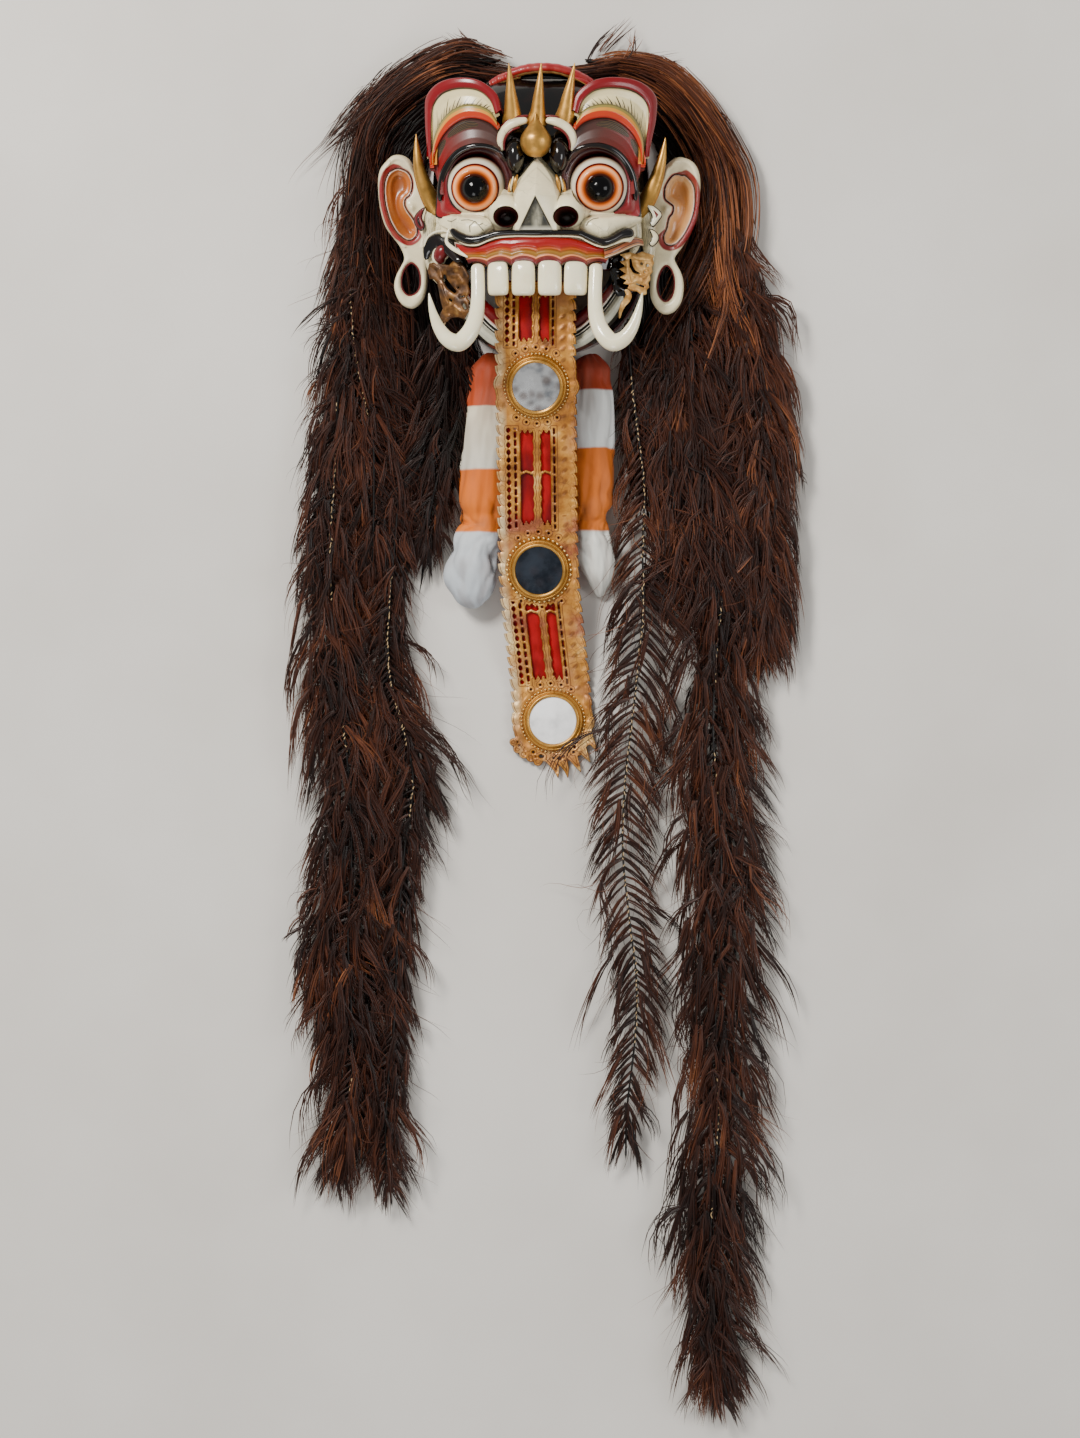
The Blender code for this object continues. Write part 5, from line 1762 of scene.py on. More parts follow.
rolls = {
    "left": {
        "route": [
            (-54, -179, 20), (-56, -188, 27), (-60, -235, 30), (-64, -290, 30), (-68, -345, 28), (-69, -372, 25),
            (-76, -392, 28), (-82, -425, 30), (-82, -450, 24), (-80, -466, 10),
        ],
        "bands": [
            (0.0, "963002"), (0.18, "b03e04"), (0.187, "dccfb4"), (0.432, "d4cfc0"), (0.44, "d46606"),
            (0.683, "d87010"), (0.69, "c4c9cd"), (1.0, "b4bbc2"),
        ],
    },
    "right": {
        "route": [
            (52, -179, 20), (54, -188, 26), (57, -235, 29), (57, -290, 28), (56, -340, 26), (56, -366, 20),
            (60, -392, 22), (66, -425, 18), (68, -455, 4),
        ],
        "bands": [
            (0.0, "8a2406"), (0.115, "a4360a"), (0.122, "dfe0dc"), (0.347, "dcdedb"), (0.355, "d46a12"),
            (0.676, "d06c14"), (0.685, "e0e0d8"), (1.0, "d4d3ca"),
        ],
    },
}


rollShape = {
    "seams": [0.18, 0.48, 0.715],
    "folds": ((5, 2.2, 0.3), (3, -5.4, 1.9), (6, 3.3, 4.1)),  # turns round the roll, climb along it, shift
}


def rollPaint(name, bands):
    finish = Finish(name, "d0d0c8", 0.7, Sheen_Weight=0.04)
    where = finish.between(finish.split("Object")[1], faceY - 180 * mm, faceY - 470 * mm)
    where = finish.plus(where, finish.times(finish.minus(finish.noise(22, 2), 0.5), 0.02))
    colour = finish.ramp(where, bands)
    folds = finish.noise(3, 2, finish.place("UV"), stretch=(1.7, 2.2, 1))
    # painted shade in the folds; the same noise also bumps them below
    colour = finish.over(colour, "6a4838", folds, 0.3, 0.52, 0.4, 0)
    finish.set("Base Color", colour)
    finish.bump(folds, 0.9, 6.0)
    finish.bump(finish.noise(900, 1), 0.12, 0.1)
    return finish


def makeRoll(side, spec):
    route = [(x, y, 2 + r * 0.8, r) for x, y, r in spec["route"]]
    seams = rollShape["seams"]

    def ripple(u, v):
        pinch = sum(-0.09 * hill(u, seam, 0.022) for seam in seams)
        gathers = sum(0.045 * hill(u, seam, 0.07) * math.sin(circle * 9 * v + 7 * seam) for seam in seams)
        wide = 0.045 * math.sin(circle * 2 * v + 17 * u) + 0.04 * math.sin(circle * 3 * v - 31 * u + 1)
        sag = 0.03 * math.sin(40 * u + 4 * math.sin(circle * v))
        for turns, climb, shift in rollShape["folds"]:
            fold = abs(math.sin(math.pi * (turns * v + climb * u) + shift + 0.9 * math.sin(9 * u)))
            sag -= 0.09 * (1 - fold) ** 3 * (0.5 + 0.5 * math.sin(23 * u + shift + circle * v))
        return pinch + gathers + wide + sag

    roll = tube(f"roll{side.title()}", route, 150, 56, (1, 0.78), (0.6, 0.7), ripple)
    for point in roll.data.vertices:
        point.co.z = max(point.co.z, 1 * mm)
    finishes[roll.name] = rollPaint(f"rollPaint{side.title()}", spec["bands"])
    finished(roll, roll.name, "roll_cloth", f"roll_{side}", 70)


for side, spec in rolls.items():
    makeRoll(side, spec)
print("tongue, mirrors and rolls made")

# hair: pointed tufts sewn along hanging cords, so that each lock lies like a long ragged feather

hair = {
    # tufts' spacing, strands in each, their radius, a tuft's breadth
    "gap": 8.6, "tuft": 9, "width": 0.74, "broad": 3.6,
    "side": 276, "past": 38,  # where strays start to be drawn in, and how far past it they can come
    "lean": {"lock_right_long": 0.35},  # how much longer its tufts are on one side
    "lined": {"lock_right_breast": 4},  # how many points of its route have an under layer, where not all
    "locks": {  # node: (x, y, half width) along it; where its tufts begin; warmth, which also paints light and shade by making the hair lighter or darker; fluff per metre; stitched stretches
        "lock_left_temple": ([
            (-150, 142, 20), (-184, 96, 24), (-208, 30, 26), (-220, -40, 28), (-223, -100, 40), (-218, -167, 46),
            (-207, -225, 46), (-197, -270, 42), (-196, -340, 34), (-197, -400, 24), (-200, -462, 8),
        ], 0.24, 0.3, 150, [(0.38, 0.66)]),
        "lock_left_outer": ([
            (-232, -150, 8), (-238, -225, 26), (-241, -300, 42), (-246, -380, 44), (-246, -440, 44), (-240, -528, 46),
            (-232, -600, 48), (-224, -680, 52), (-222, -760, 58), (-226, -850, 60), (-222, -940, 50), (-222, -1020, 38),
            (-234, -1090, 26), (-246, -1150, 9),
        ], 0.03, 0.42, 330, [(0.08, 0.36), (0.42, 0.5), (0.84, 0.88)]),
        "lock_left_inner": ([
            (-162, -250, 8), (-166, -320, 20), (-172, -400, 26), (-178, -470, 28), (-178, -540, 34), (-164, -600, 40),
            (-150, -668, 38), (-160, -750, 30), (-168, -850, 24), (-172, -950, 24), (-180, -1030, 28),
            (-182, -1100, 22), (-175, -1168, 7),
        ], 0.04, 0.3, 140, [(0.2, 0.46), (0.5, 0.56)]),
        # the darkest hair, painted shade from the face beside it
        "lock_left_cheek": (
            [(-112, -128, 34), (-112, -180, 46), (-112, -236, 46), (-116, -290, 40), (-128, -345, 26), (-140, -410, 8)],
            0.0, -0.35, 300, [(0.02, 0.2)],
        ),
        "lock_right_temple": ([
            (150, 148, 20), (190, 108, 24), (214, 44, 26), (224, -36, 28), (238, -120, 32), (250, -200, 36),
            (258, -280, 38), (258, -370, 36), (262, -450, 28), (266, -550, 8),
        ], 0.4, 0.75, 330, []),
        "lock_right_long": ([
            (168, -60, 14), (174, -140, 30), (180, -210, 40), (190, -310, 44), (203, -390, 44), (211, -440, 46),
            (204, -520, 50), (200, -610, 52), (206, -690, 54), (210, -780, 58), (207, -870, 54), (203, -960, 52),
            (206, -1060, 56), (200, -1150, 52), (196, -1220, 44), (198, -1300, 30), (202, -1360, 20), (210, -1420, 5),
        ], 0.05, 0.4, 380, [(0.26, 0.3), (0.31, 0.38), (0.43, 0.47), (0.66, 0.73), (0.76, 0.79)]),
        "lock_right_cheek": (
            [(138, -120, 10), (142, -180, 24), (147, -245, 28), (152, -320, 26), (158, -385, 18), (164, -446, 5)],
            0.0, 0.5, 250, [],
        ),
        "lock_right_breast": ([
            (100, -128, 8), (104, -190, 24), (112, -260, 30), (120, -330, 34), (118, -400, 40), (119, -458, 44),
            (114, -528, 46), (106, -598, 46), (98, -668, 46), (95, -750, 42), (103, -832, 38), (111, -902, 34),
            (109, -972, 30), (100, -1050, 22), (98, -1112, 8),
        ], 0.0, 0.55, 40, [(0.08, 0.3), (0.32, 0.86)]),
    },
    "lining": [  # hair behind the face's edge, made near black as painted shade from the face: route, strands, node
        ([
            (-44, 160, 14), (-104, 150, 24), (-156, 108, 38), (-174, 60, 44), (-180, 0, 46), (-186, -70, 44),
            (-190, -150, 40),
        ], 900, "lock_left_temple"),
        ([(-134, -60, 20), (-124, -130, 40), (-112, -210, 46)], 260, "lock_left_cheek"),
        ([(134, -70, 20), (140, -130, 34), (150, -210, 40)], 240, "lock_right_cheek"),
        ([
            (46, 160, 14), (104, 150, 24), (154, 108, 36), (176, 60, 44), (184, 0, 46), (190, -70, 46), (194, -150, 44),
        ], 900, "lock_right_temple"),
    ],
    "combed": [  # looser hair: route, strands, their share of the route, warmth that also paints light and shade, raggedness, node
        ([
            (-30, 170, 7), (-62, 181, 9), (-100, 186, 13), (-150, 162, 17), (-192, 126, 18), (-228, 94, 13),
            (-254, 70, 7),
        ], 280, (0.2, 0.5), 0.3, 0.6, "lock_left_temple"),
        ([
            (-60, 166, 12), (-112, 164, 17), (-152, 146, 20), (-186, 116, 20), (-203, 80, 17), (-200, 44, 12),
            (-186, 24, 8),
        ], 330, (0.3, 0.7), 0.35, 0.25, "lock_left_temple"),
        ([
            (-120, 158, 14), (-172, 126, 22), (-200, 84, 24), (-212, 30, 26), (-214, -30, 27), (-222, -100, 28),
            (-230, -170, 20),
        ], 460, (0.25, 0.55), 0.1, 0.45, "lock_left_temple"),
        (
            [(-178, 60, 10), (-190, 10, 16), (-188, -50, 22), (-182, -120, 26), (-174, -200, 26), (-160, -290, 24)],
            300, (0.3, 0.6), -0.2, 0.5, "lock_left_cheek",
        ),
        ([
            (56, 164, 7), (72, 167, 9), (98, 170, 12), (146, 156, 15), (188, 116, 15), (216, 74, 14), (236, 34, 13),
            (240, -20, 12), (232, -70, 12),
        ], 420, (0.22, 0.5), 0.95, 0.35, "lock_right_temple"),
        ([
            (60, 166, 12), (110, 156, 17), (150, 134, 22), (184, 92, 25), (204, 46, 26), (212, -10, 28), (216, -80, 30),
            (240, -160, 28), (262, -230, 16), (268, -290, 8),
        ], 560, (0.22, 0.46), 0.95, 0.3, "lock_right_temple"),
        ([
            (140, 108, 10), (176, 86, 15), (204, 46, 18), (207, 0, 20), (192, -50, 22), (166, -104, 22),
            (138, -148, 20), (112, -200, 12),
        ], 260, (0.25, 0.5), 0.75, 0.4, "lock_right_cheek"),
        (
            [(200, 20, 14), (208, -50, 18), (214, -108, 14), (204, -150, 10), (188, -196, 6), (180, -236, 4)],
            170, (0.4, 0.75), 1.25, 0.15, "lock_right_temple",
        ),
        (
            [(212, -40, 14), (224, -108, 10), (246, -150, 9), (262, -204, 8), (266, -262, 5), (262, -300, 3)],
            170, (0.4, 0.75), 1.2, 0.15, "lock_right_temple",
        ),
        (
            [(-100, 164, 12), (-50, 156, 9), (0, 152, 8), (50, 156, 9), (100, 162, 12)],
            200, (0.3, 0.7), 0.3, 0.4, "hair_crown",
        ),
        ([(54, 160, 5), (72, 186, 8), (92, 206, 9)], 16, (0.6, 1.0), 0.4, 0.6, "hair_crown"),
        ([(92, 164, 5), (104, 184, 9), (108, 202, 10)], 12, (0.6, 1.0), 0.4, 0.8, "hair_crown"),
        ([(-70, 180, 6), (-96, 192, 10), (-112, 204, 10)], 12, (0.6, 1.0), 0.3, 0.8, "hair_crown"),
    ],
    "tangles": [  # ruffled places: (x, y, half width) along it, tufts, spread of their headings, lengths, warmth that also paints light and shade, node
        (
            [(150, -150, 22), (160, -240, 40), (180, -330, 50), (200, -420, 50)],
            250, 0.5, (70, 125), 0.35, "lock_right_long",
        ),
        (
            [(236, -180, 26), (250, -300, 34), (250, -420, 34), (246, -520, 26)],
            210, 0.55, (55, 100), 0.6, "lock_right_temple",
        ),
        ([(-200, -20, 20), (-214, -120, 36), (-200, -220, 40)], 110, 0.55, (50, 90), 0.2, "lock_left_temple"),
        ([(-250, -790, 22), (-252, -880, 26), (-240, -960, 22)], 120, 0.4, (60, 105), 0.6, "lock_left_outer"),
        ([(112, -430, 14), (150, -462, 18), (196, -486, 16)], 36, 0.4, (80, 120), 0.7, "lock_right_long"),
    ],
}
rng = np.random.default_rng(11)


def ringFace(base, i, sides):
    # the side i between a ring of points that starts at base and the next ring
    return base + i, base + (i + 1) % sides, base + sides + (i + 1) % sides, base + sides + i


def strandMesh(name, lines, radius, tone):
    # closed three-sided strands along lines[strand, station], each running to a point
    count, rings = lines.shape[:2]
    # hairs that stray past the locks' sides are drawn in, so that none lies further out than the whole mask may
    out = np.abs(lines[:, :, 0])
    past = np.maximum(out - hair["side"], 0)
    drawn = np.minimum(out, hair["side"]) + hair["past"] * (1 - np.exp(-past / hair["past"]))
    lines[:, :, 0] = np.sign(lines[:, :, 0]) * drawn
    run = np.gradient(lines, axis=1)
    run /= np.maximum(np.sqrt((run**2).sum(2))[..., None], 1e-6)
    side = np.cross(run, [0, 0, 1])
    side /= np.maximum(np.sqrt((side**2).sum(2))[..., None], 1e-6)
    up = np.cross(side, run)
    t = np.linspace(0, 1, rings)
    size = (radius[:, None] * held(0.6 + 2 * t) * (1 - t**2.4 * 0.95))[:, :-1, None]
    body, side, up = lines[:, :-1], side[:, :-1], up[:, :-1]
    corners = np.stack([body - side * size, body + side * size, body + up * size * 0.8], 2)
    points = np.concatenate([corners.reshape(count, -1, 3), lines[:, -1:]], 1)
    each = points.shape[1]
    last = 3 * (rings - 2)
    faces = [ringFace(3 * k, i, 3) for k in range(rings - 2) for i in range(3)]
    caps = [(last + i, last + (i + 1) % 3, last + 3) for i in range(3)] + [(2, 1, 0)]
    starts = (np.arange(count) * each)[:, None, None]
    listed = []
    for group in (faces, caps):
        listed += (np.array(group)[None] + starts).reshape(-1, len(group[0]))[:, ::-1].tolist()
    points = points.reshape(-1, 3) * mm + np.array([faceX, faceY, 0])
    points[:, 2] = np.maximum(points[:, 2], 0.4 * mm)
    piece = meshPiece(name, points.tolist(), listed)
    p, q, r = points[listed[0][0]], points[listed[0][1]], points[listed[0][2]]
    if np.dot(np.cross(q - p, r - p), p - points[:3].mean(0)) < 0:
        editAll(piece, (bpy.ops.mesh.flip_normals, {}))
    keep(piece, "tone", np.repeat(tone, each))
    keep(piece, "down", np.tile(np.append(np.repeat(t[:-1], 3), 1.0), count))
    keep(piece, "round", np.tile(np.append(np.tile([0.0, 1.0, 0.5], rings - 1), 0.5), count))
    return piece


def onRoute(route, t, out=0.0):
    # a place beside the route, out in half widths, with the heading there
    here = np.array([along(route, min(x, 1)) for x in t])
    ahead = np.array([along(route, min(x + 0.02, 1)) for x in t])
    step = ahead - np.array([along(route, max(min(x, 1) - 0.02, 0)) for x in t])
    heading = np.arctan2(step[:, 1], step[:, 0])
    aside = np.stack([-np.sin(heading), np.cos(heading)], 1)
    return here[:, :2] + aside * (here[:, 2] * out)[:, None], heading, here[:, 2]


def routeLength(route):
    return sum(math.dist(a[:2], b[:2]) for a, b in zip(route, route[1:]))


def clumps(root, first, last, long, high, low, tone, strands, broad=4.4, wave=0.14, closing=0.8, stations=6):
    # tufts that leave root at the heading first and end at the heading last, their strands drawn together at the tip
    count = len(root) * strands
    each = (np.repeat(v * np.ones(len(root)), strands) for v in (first, last, long, high, low, tone))
    first, last, long, high, low, tone = each
    waveSize = np.repeat(np.abs(rng.normal(0, wave, len(root))), strands) * rng.uniform(0.6, 1.4, count)
    phase = np.repeat(rng.uniform(0, 6.3, len(root)), strands) + rng.normal(0, 0.35, count)
    across = rng.uniform(-0.5, 0.5, count)
    wander = rng.normal(0, 0.07, count) + np.where(rng.random(count) < 0.08, rng.normal(0, 0.3, count), 0)
    long = long * rng.uniform(0.7, 1.08, count)
    where = np.repeat(root, strands, 0) + rng.normal(0, 0.5, (count, 2))
    lines = np.zeros((count, stations, 3))
    stray = rng.normal(0, 1.5, count)
    for k in range(stations):
        s = k / (stations - 1)
        heading = first + (last - first) * s**0.75 + waveSize * np.sin(4.2 * s + phase) + wander * s
        run = np.stack([np.cos(heading), np.sin(heading)], 1)
        aside = np.stack([-run[:, 1], run[:, 0]], 1)
        spread = across * broad * (0.55 + 1.6 * s) * (1 - closing * s**1.3)
        lines[:, k, :2] = where + aside * spread[:, None]
        arched = 5 * math.sin(math.pi * s) + (stray + 1.2 * np.cos(6 * across)) * (1 - s)
        lines[:, k, 2] = high + (low - high) * s**1.3 + arched
        where = where + run * (long / (stations - 1))[:, None]
    thick = hair["width"] * rng.uniform(0.55, 1.15, count)
    return lines, thick, held(tone + rng.normal(0, 0.07, count))


def tufted(route, start, warmth, lean):
    # the ordered tufts that hang either side of the cord
    tufts = int(routeLength(route) * (1 - start) / hair["gap"])
    t = np.repeat(start + (0.97 - start) * (np.arange(tufts) + 0.5) / tufts, 2) + rng.normal(0, 0.1 / tufts, 2 * tufts)
    side = np.tile([-1.0, 1.0], tufts)
    root, heading, wide = onRoute(route, t)
    reach = wide * (1 + lean * side)
    opened = np.radians(np.clip(14 + reach * 1.05, 16, 54) + rng.normal(0, 5, len(t)))
    ended = opened * rng.uniform(0.2, 0.6, len(t))
    long = np.clip(reach / np.sin((opened + ended) / 2) * rng.uniform(0.85, 1.12, len(t)), 22, 115)
    high = 9 + np.minimum(wide, 26) * 0.72
    low, tone = 3 + 8 * rng.random(len(t)), rng.normal(0.36 + 0.16 * warmth, 0.06, len(t))
    first, last = heading + side * opened, heading + side * ended
    return clumps(root, first, last, long, high, low, tone, hair["tuft"], hair["broad"], wave=0.1, closing=0.9)


def fluffed(route, start, warmth, count, spread=0.3, lengths=(60, 125), strands=9, reach=0.75):
    # ragged tufts over the lock that turn about it in every way
    t = start * 0.8 + (0.95 - start * 0.8) * rng.random(count)
    out = rng.uniform(-reach, reach, count)
    root, heading, wide = onRoute(route, t, out)
    first = heading + out * 0.5 + rng.normal(0, spread, count)
    long = rng.uniform(*lengths, count) * np.clip(wide / 34, 0.4, 1)
    high = 8 + np.minimum(wide, 30) * 0.8 * (1 - 0.5 * out**2) + rng.uniform(-3, 6, count)
    last = heading + out * 0.2 + rng.normal(0, spread * 0.8, count)
    low, tone = 3 + 20 * rng.random(count), rng.normal(0.42 + 0.2 * warmth, 0.08, count)
    return clumps(root, first, last, long, high, low, tone, strands, 6.5, wave=0.24, closing=0.6)


def strayed(route, start, warmth, count):
    # single hairs that stand out from the lock
    t = start + (0.97 - start) * rng.random(count)
    out = rng.choice([-1.0, 1.0], count)
    root, heading, wide = onRoute(route, t, out * rng.uniform(0, 0.6, count))
    first = heading + out * rng.uniform(0.0, 0.9, count)
    long = rng.uniform(40, 110, count) * np.clip(wide / 34, 0.45, 1)
    last = first - out * rng.uniform(-0.6, 1.1, count)
    high, low = 14 + 22 * rng.random(count), 2 + 26 * rng.random(count)
    tone = 0.55 + 0.2 * warmth
    lines, thick, tone = clumps(root, first, last, long, high, low, tone, 1, wave=0.45, stations=8)
    return lines, thick * 0.45, tone


def underLayer(route, warmth, count=None, spread=1.0):
    # broad strands lying along the lock, close to the floor, coloured near black as painted shade under the hair above
    count = count or int(routeLength(route) * 0.4)
    t, out = rng.uniform(0, 0.9, count), rng.uniform(-0.55, 0.55, count) * spread
    root, heading, _ = onRoute(route, t, out)
    out = np.clip(out, -1, 1)
    long = rng.uniform(50, 90, count)
    high, low = 3 + 9 * (1 - abs(out)), 2 + 5 * rng.random(count)
    tone = 0.1 + 0.1 * warmth
    lines, thick, tone = clumps(root, heading - 0.1 * out, heading + 0.1 * out, long, high, low, tone, 1, wave=0.1)
    return lines, thick * 2.6, tone


def combed(route, count, span, warmth, ragged):
    t = rng.uniform(0, 1, count) ** 1.1 * (1 - span[0] * 0.8)
    length = rng.uniform(*span, count)
    bundle = rng.normal(0, 0.55, count // 6 + 1)[np.arange(count) // 6]
    offset = np.clip(bundle + rng.normal(0, 0.22, count), -1.25, 1.25)
    t = t * 0.3 + 0.7 * (rng.uniform(0, 1 - span[0] * 0.8, count // 6 + 1)[np.arange(count) // 6])
    drift = (rng.normal(0, 0.5, count // 6 + 1)[np.arange(count) // 6] + rng.normal(0, 0.55, count)) * ragged
    wave, phase = rng.uniform(0.02, 0.26, count) * ragged, rng.uniform(0, 6.3, count)
    base = 4 + rng.random(count) * 26
    stations = 10
    lines = np.zeros((count, stations, 3))
    for k in range(stations):
        s = k / (stations - 1)
        aside = offset * (1 - 0.25 * s) + drift * s * s + wave * np.sin(6 * s + phase)
        place, heading, _ = onRoute(route, t + length * s, aside)
        past = np.maximum(t + length * s - 1, 0) * routeLength(route)
        lines[:, k, 0] = place[:, 0] + np.cos(heading) * past
        lines[:, k, 1] = place[:, 1] + np.sin(heading) * past
        lines[:, k, 2] = base * (1 - 0.35 * s) + (1 - np.minimum(np.abs(offset), 1)) * 10
    tone = rng.normal(0.46 + 0.3 * warmth, 0.12, count // 6 + 1)[np.arange(count) // 6] + rng.normal(0, 0.07, count)
    return lines, rng.uniform(0.35, 0.75, count), held(tone)


def hairPaint():
    finish = Finish("hairFibre", "2a1810", 0.45, Specular_IOR_Level=0.4)
    tone, down, around = (finish.kept(name) for name in ("tone", "down", "round"))
    spread = (finish.times(part, size) for part, size in ((around, 3.0), (down, 1.2), (tone, 90.0)))
    grain = finish.add("ShaderNodeCombineXYZ", **{f"_{i}": part for i, part in enumerate(spread)})[0]
    fibres = finish.add("ShaderNodeTexNoise", Vector=grain, Scale=3.2, Detail=3.0)[0]
    light = finish.plus(tone, finish.times(finish.minus(fibres, 0.5), 0.4))
    light = finish.plus(light, finish.times(down, 0.1))
    light = finish.plus(light, finish.times(finish.minus(finish.noise(13, 2), 0.5), 0.55))
    browns = [(0.08, "080403"), (0.34, "190a06"), (0.54, "31170e"), (0.74, "542c1b"), (0.98, "985c38")]
    finish.set("Base Color", finish.ramp(light, browns))
    finish.set("Roughness", finish.between(fibres, 0.3, 0.7, 0.3, 0.5))
    finish.bump(fibres, 0.5, 0.4)
    return finish


finishes["hair"] = hairPaint()
# pale thread for the stitches, also a painted highlight standing for glints on the cords
finishes["stitch"] = lacquer("stitchThreadGlint", "c9ab80", dirt="5a3a20")


def joined(parts):
    return [np.concatenate(group) for group in zip(*parts)]


def makeSpine(label, node, route, start, stretches):
    # the cord that the tufts are sewn to, and its pale stitches, which also stand for the glints along the cord as
    # painted highlights
    def rise(wide):
        return 12 + min(wide, 26) * 0.72

    first = int(start * (len(route) - 1))
    cord = tube(f"{label}Cord", [(x, y, rise(w), 1.25) for x, y, w in route[first:]], 110, 5, (1, 0.8))
    finished(cord, "hair", "hair", node)
    points, faces = [], []
    length = routeLength(route)
    for low, high in stretches:
        for k in range(int(length * (high - low) / 6.5)):
            x, y, w = along(route, low + 6.5 * (k + rng.uniform(0.2, 0.8)) / length)
            long, turn, base = rng.uniform(1.4, 2.6), rng.normal(0.15, 0.3), len(points)
            x, z = x + rng.normal(0, 0.5), rise(w) + 1.0
            for step, size in ((-1, 0.15), (-0.4, 0.62), (0.5, 0.55), (1, 0.12)):
                px, py = x + step * long * math.sin(turn), y + step * long * math.cos(turn)
                for dx, dz in ((-size, 0), (0, size * 0.8), (size, 0), (0, -size * 0.6)):
                    points.append(at(px + dx, py, z + dz))
            faces += [ringFace(base + 4 * ring, i, 4) for ring in range(3) for i in range(4)]
            faces += [(base + 3, base + 2, base + 1, base), tuple(base + 12 + i for i in range(4))]
    if not points:
        return
    piece = meshPiece(f"{label}Stitches", [tuple(p) for p in points], faces)
    editAll(piece, (bpy.ops.mesh.normals_make_consistent, {"inside": False}))
    finished(piece, "stitch", "hair", ())


def makeHair():
    loose = {}
    for route, count, span, warmth, ragged, node in hair["combed"]:
        loose.setdefault(node, []).append(combed(route, count, span, warmth, ragged))
    tangled = {}
    for route, count, spread, lengths, warmth, node in hair["tangles"]:
        tangled.setdefault(node, []).append(fluffed(route, 0, warmth, count, spread, lengths, 5, 1))
    # the lining is made near black, painted shade from the face over it
    lined = {node: underLayer(route, -0.1, count, 1.8) for route, count, node in hair["lining"]}
    for node, (route, start, warmth, fluff, stretches) in hair["locks"].items():
        label = pieceName(node)
        length = routeLength(route) / 1000
        layers = {
            "": [tufted(route, start, warmth, hair["lean"].get(node, 0))],
            "Fluff": [fluffed(route, start, warmth, int(fluff * length))],
            "Under": [underLayer(route[: hair["lined"].get(node)], warmth)],
        }
        layers["Fluff"] += tangled.pop(node, [])
        layers["Stray"] = [strayed(route, start, warmth, int(430 * length))]
        if node in lined:
            layers["Under"].append(lined[node])
        if node in loose:
            layers["Combed"] = loose.pop(node)
        for layer, parts in layers.items():
            finished(strandMesh(label + layer, *joined(parts)), "hair", "hair", node)
        makeSpine(label, node, route, start, stretches)
    for node, parts in loose.items():
        finished(strandMesh("hairCrown", *joined(parts)), "hair", "hair", node)


makeHair()
print("hair made")

# gilded leather at the cheeks, small leaves by the ears

cheekGold = {
    "high": 113, "fall": 0.42,  # height over the face's edge, and how it drops outwards
    "right": {
        "body": [
            (106, -58), (113, -60), (120, -57), (127, -59), (134, -61), (132, -65), (133.5, -70), (131, -75),
            (132, -80), (129, -84), (129.5, -89), (127, -93), (128, -98), (125, -101), (125, -106), (120, -108),
            (114, -103), (108, -103), (103.2, -100), (105, -96), (98.4, -94.5), (102, -90.5), (94.5, -87), (101, -83),
            (93.6, -77.5), (101, -74.5), (94.2, -69), (102, -67), (94.5, -61),
        ],
        "holes": [
            [(106.6, -66.7, 1.3), (107.4, -74.4, 1.8), (110.8, -80.2, 1.8), (116.6, -82.5, 0.9)],
            [(119.1, -71, 1.8), (119.3, -71.2, 1.8)], [(125.8, -72.9, 1.8), (126, -73, 1.8)],
            [(122.7, -80.6, 0.9), (123, -80.8, 0.9)], [(113.7, -94.5, 1.1), (121.4, -97.4, 1.1)],
        ],
        "ridges": [
            [(110, -63, 1.2), (116, -65, 1.5), (122, -65, 1.5), (129, -66, 1.1)],
            [(112, -85, 1.1), (117, -88, 1.4), (123, -86, 1.2), (126, -80, 1)],
            [(108, -93, 1), (113, -89.5, 1.2), (119, -91, 1.1)],
            [(99, -64, 0.9), (103, -70, 1.2), (103, -80, 1.2), (105, -90, 1)],
        ],
    },
    "left": {
        "body": [
            (-128.7, -78), (-127, -70), (-119, -67.8), (-111.4, -71), (-103, -72.3), (-96.6, -66.5), (-90, -67.5),
            (-84.2, -75.6), (-79.2, -86.3), (-80.6, -94.5), (-78.4, -105), (-82, -110), (-78.9, -114.3), (-80, -127.5),
            (-85, -135.8), (-92.4, -132.8), (-100.7, -133.3), (-105.6, -138.2), (-110.6, -139.4), (-114.7, -130.8),
            (-110.6, -122.6), (-113, -114.3), (-114.7, -104.4), (-117.2, -92.9), (-122, -88), (-126.2, -88),
        ],
        "holes": [
            [(-108.5, -84, 1.2), (-107.5, -90, 2.2), (-103, -97, 3), (-96.5, -103, 2)],
            [(-92.3, -98.5, 1.1), (-92.2, -98.6, 1.1)], [(-85.5, -119, 1.7), (-84, -123, 1.4)],
            [(-102.5, -112, 1.1), (-100, -114, 1.2)], [(-90, -109.5, 0.8), (-85, -108.5, 0.8)],
        ],
        "ridges": [
            [(-105, -78, 1.4), (-98, -74, 1.6), (-91, -76, 1.4)], [(-100, -85, 1.2), (-93, -86, 1.5), (-88, -93, 1.3)],
            [(-122, -72, 1.2), (-115, -77, 1.4), (-112, -86, 1.2)],
            [(-113, -96, 1), (-110, -106, 1.3), (-105, -117, 1.1)],
            [(-106, -122, 1.2), (-98, -121, 1.6), (-90, -127, 1.3)], [(-104, -131, 1), (-111, -134, 1)],
        ],
    },
    "leaf": [
        (101, -101, 2.0), (104.5, -107, 3.4), (103, -113, 3.8), (98.5, -119, 3.2), (95.6, -126, 2.2), (94, -135, 0.8),
    ],
}
earLeaves = {  # corners round each small leaf, and the finishes of its edge, face and hollow
    "leafRightUpper": (
        [(124, -2), (132, -3), (139, -8), (143, -14), (139, -21), (133, -28), (129, -25), (131, -16)],
        ("black", "ivory", "deepRed"),
    ),
    "leafRightLower": (
        [(128, -31), (134, -32), (139, -38), (138, -45), (132, -51), (128, -48), (131, -40)],
        ("black", "temple", "black"),
    ),
    "leafLeft": (
        [(-132, -5), (-139, -8), (-145, -16), (-144, -25), (-137, -32), (-132, -27), (-135, -16)],
        ("black", "deepRed", "black"),
    ),
}
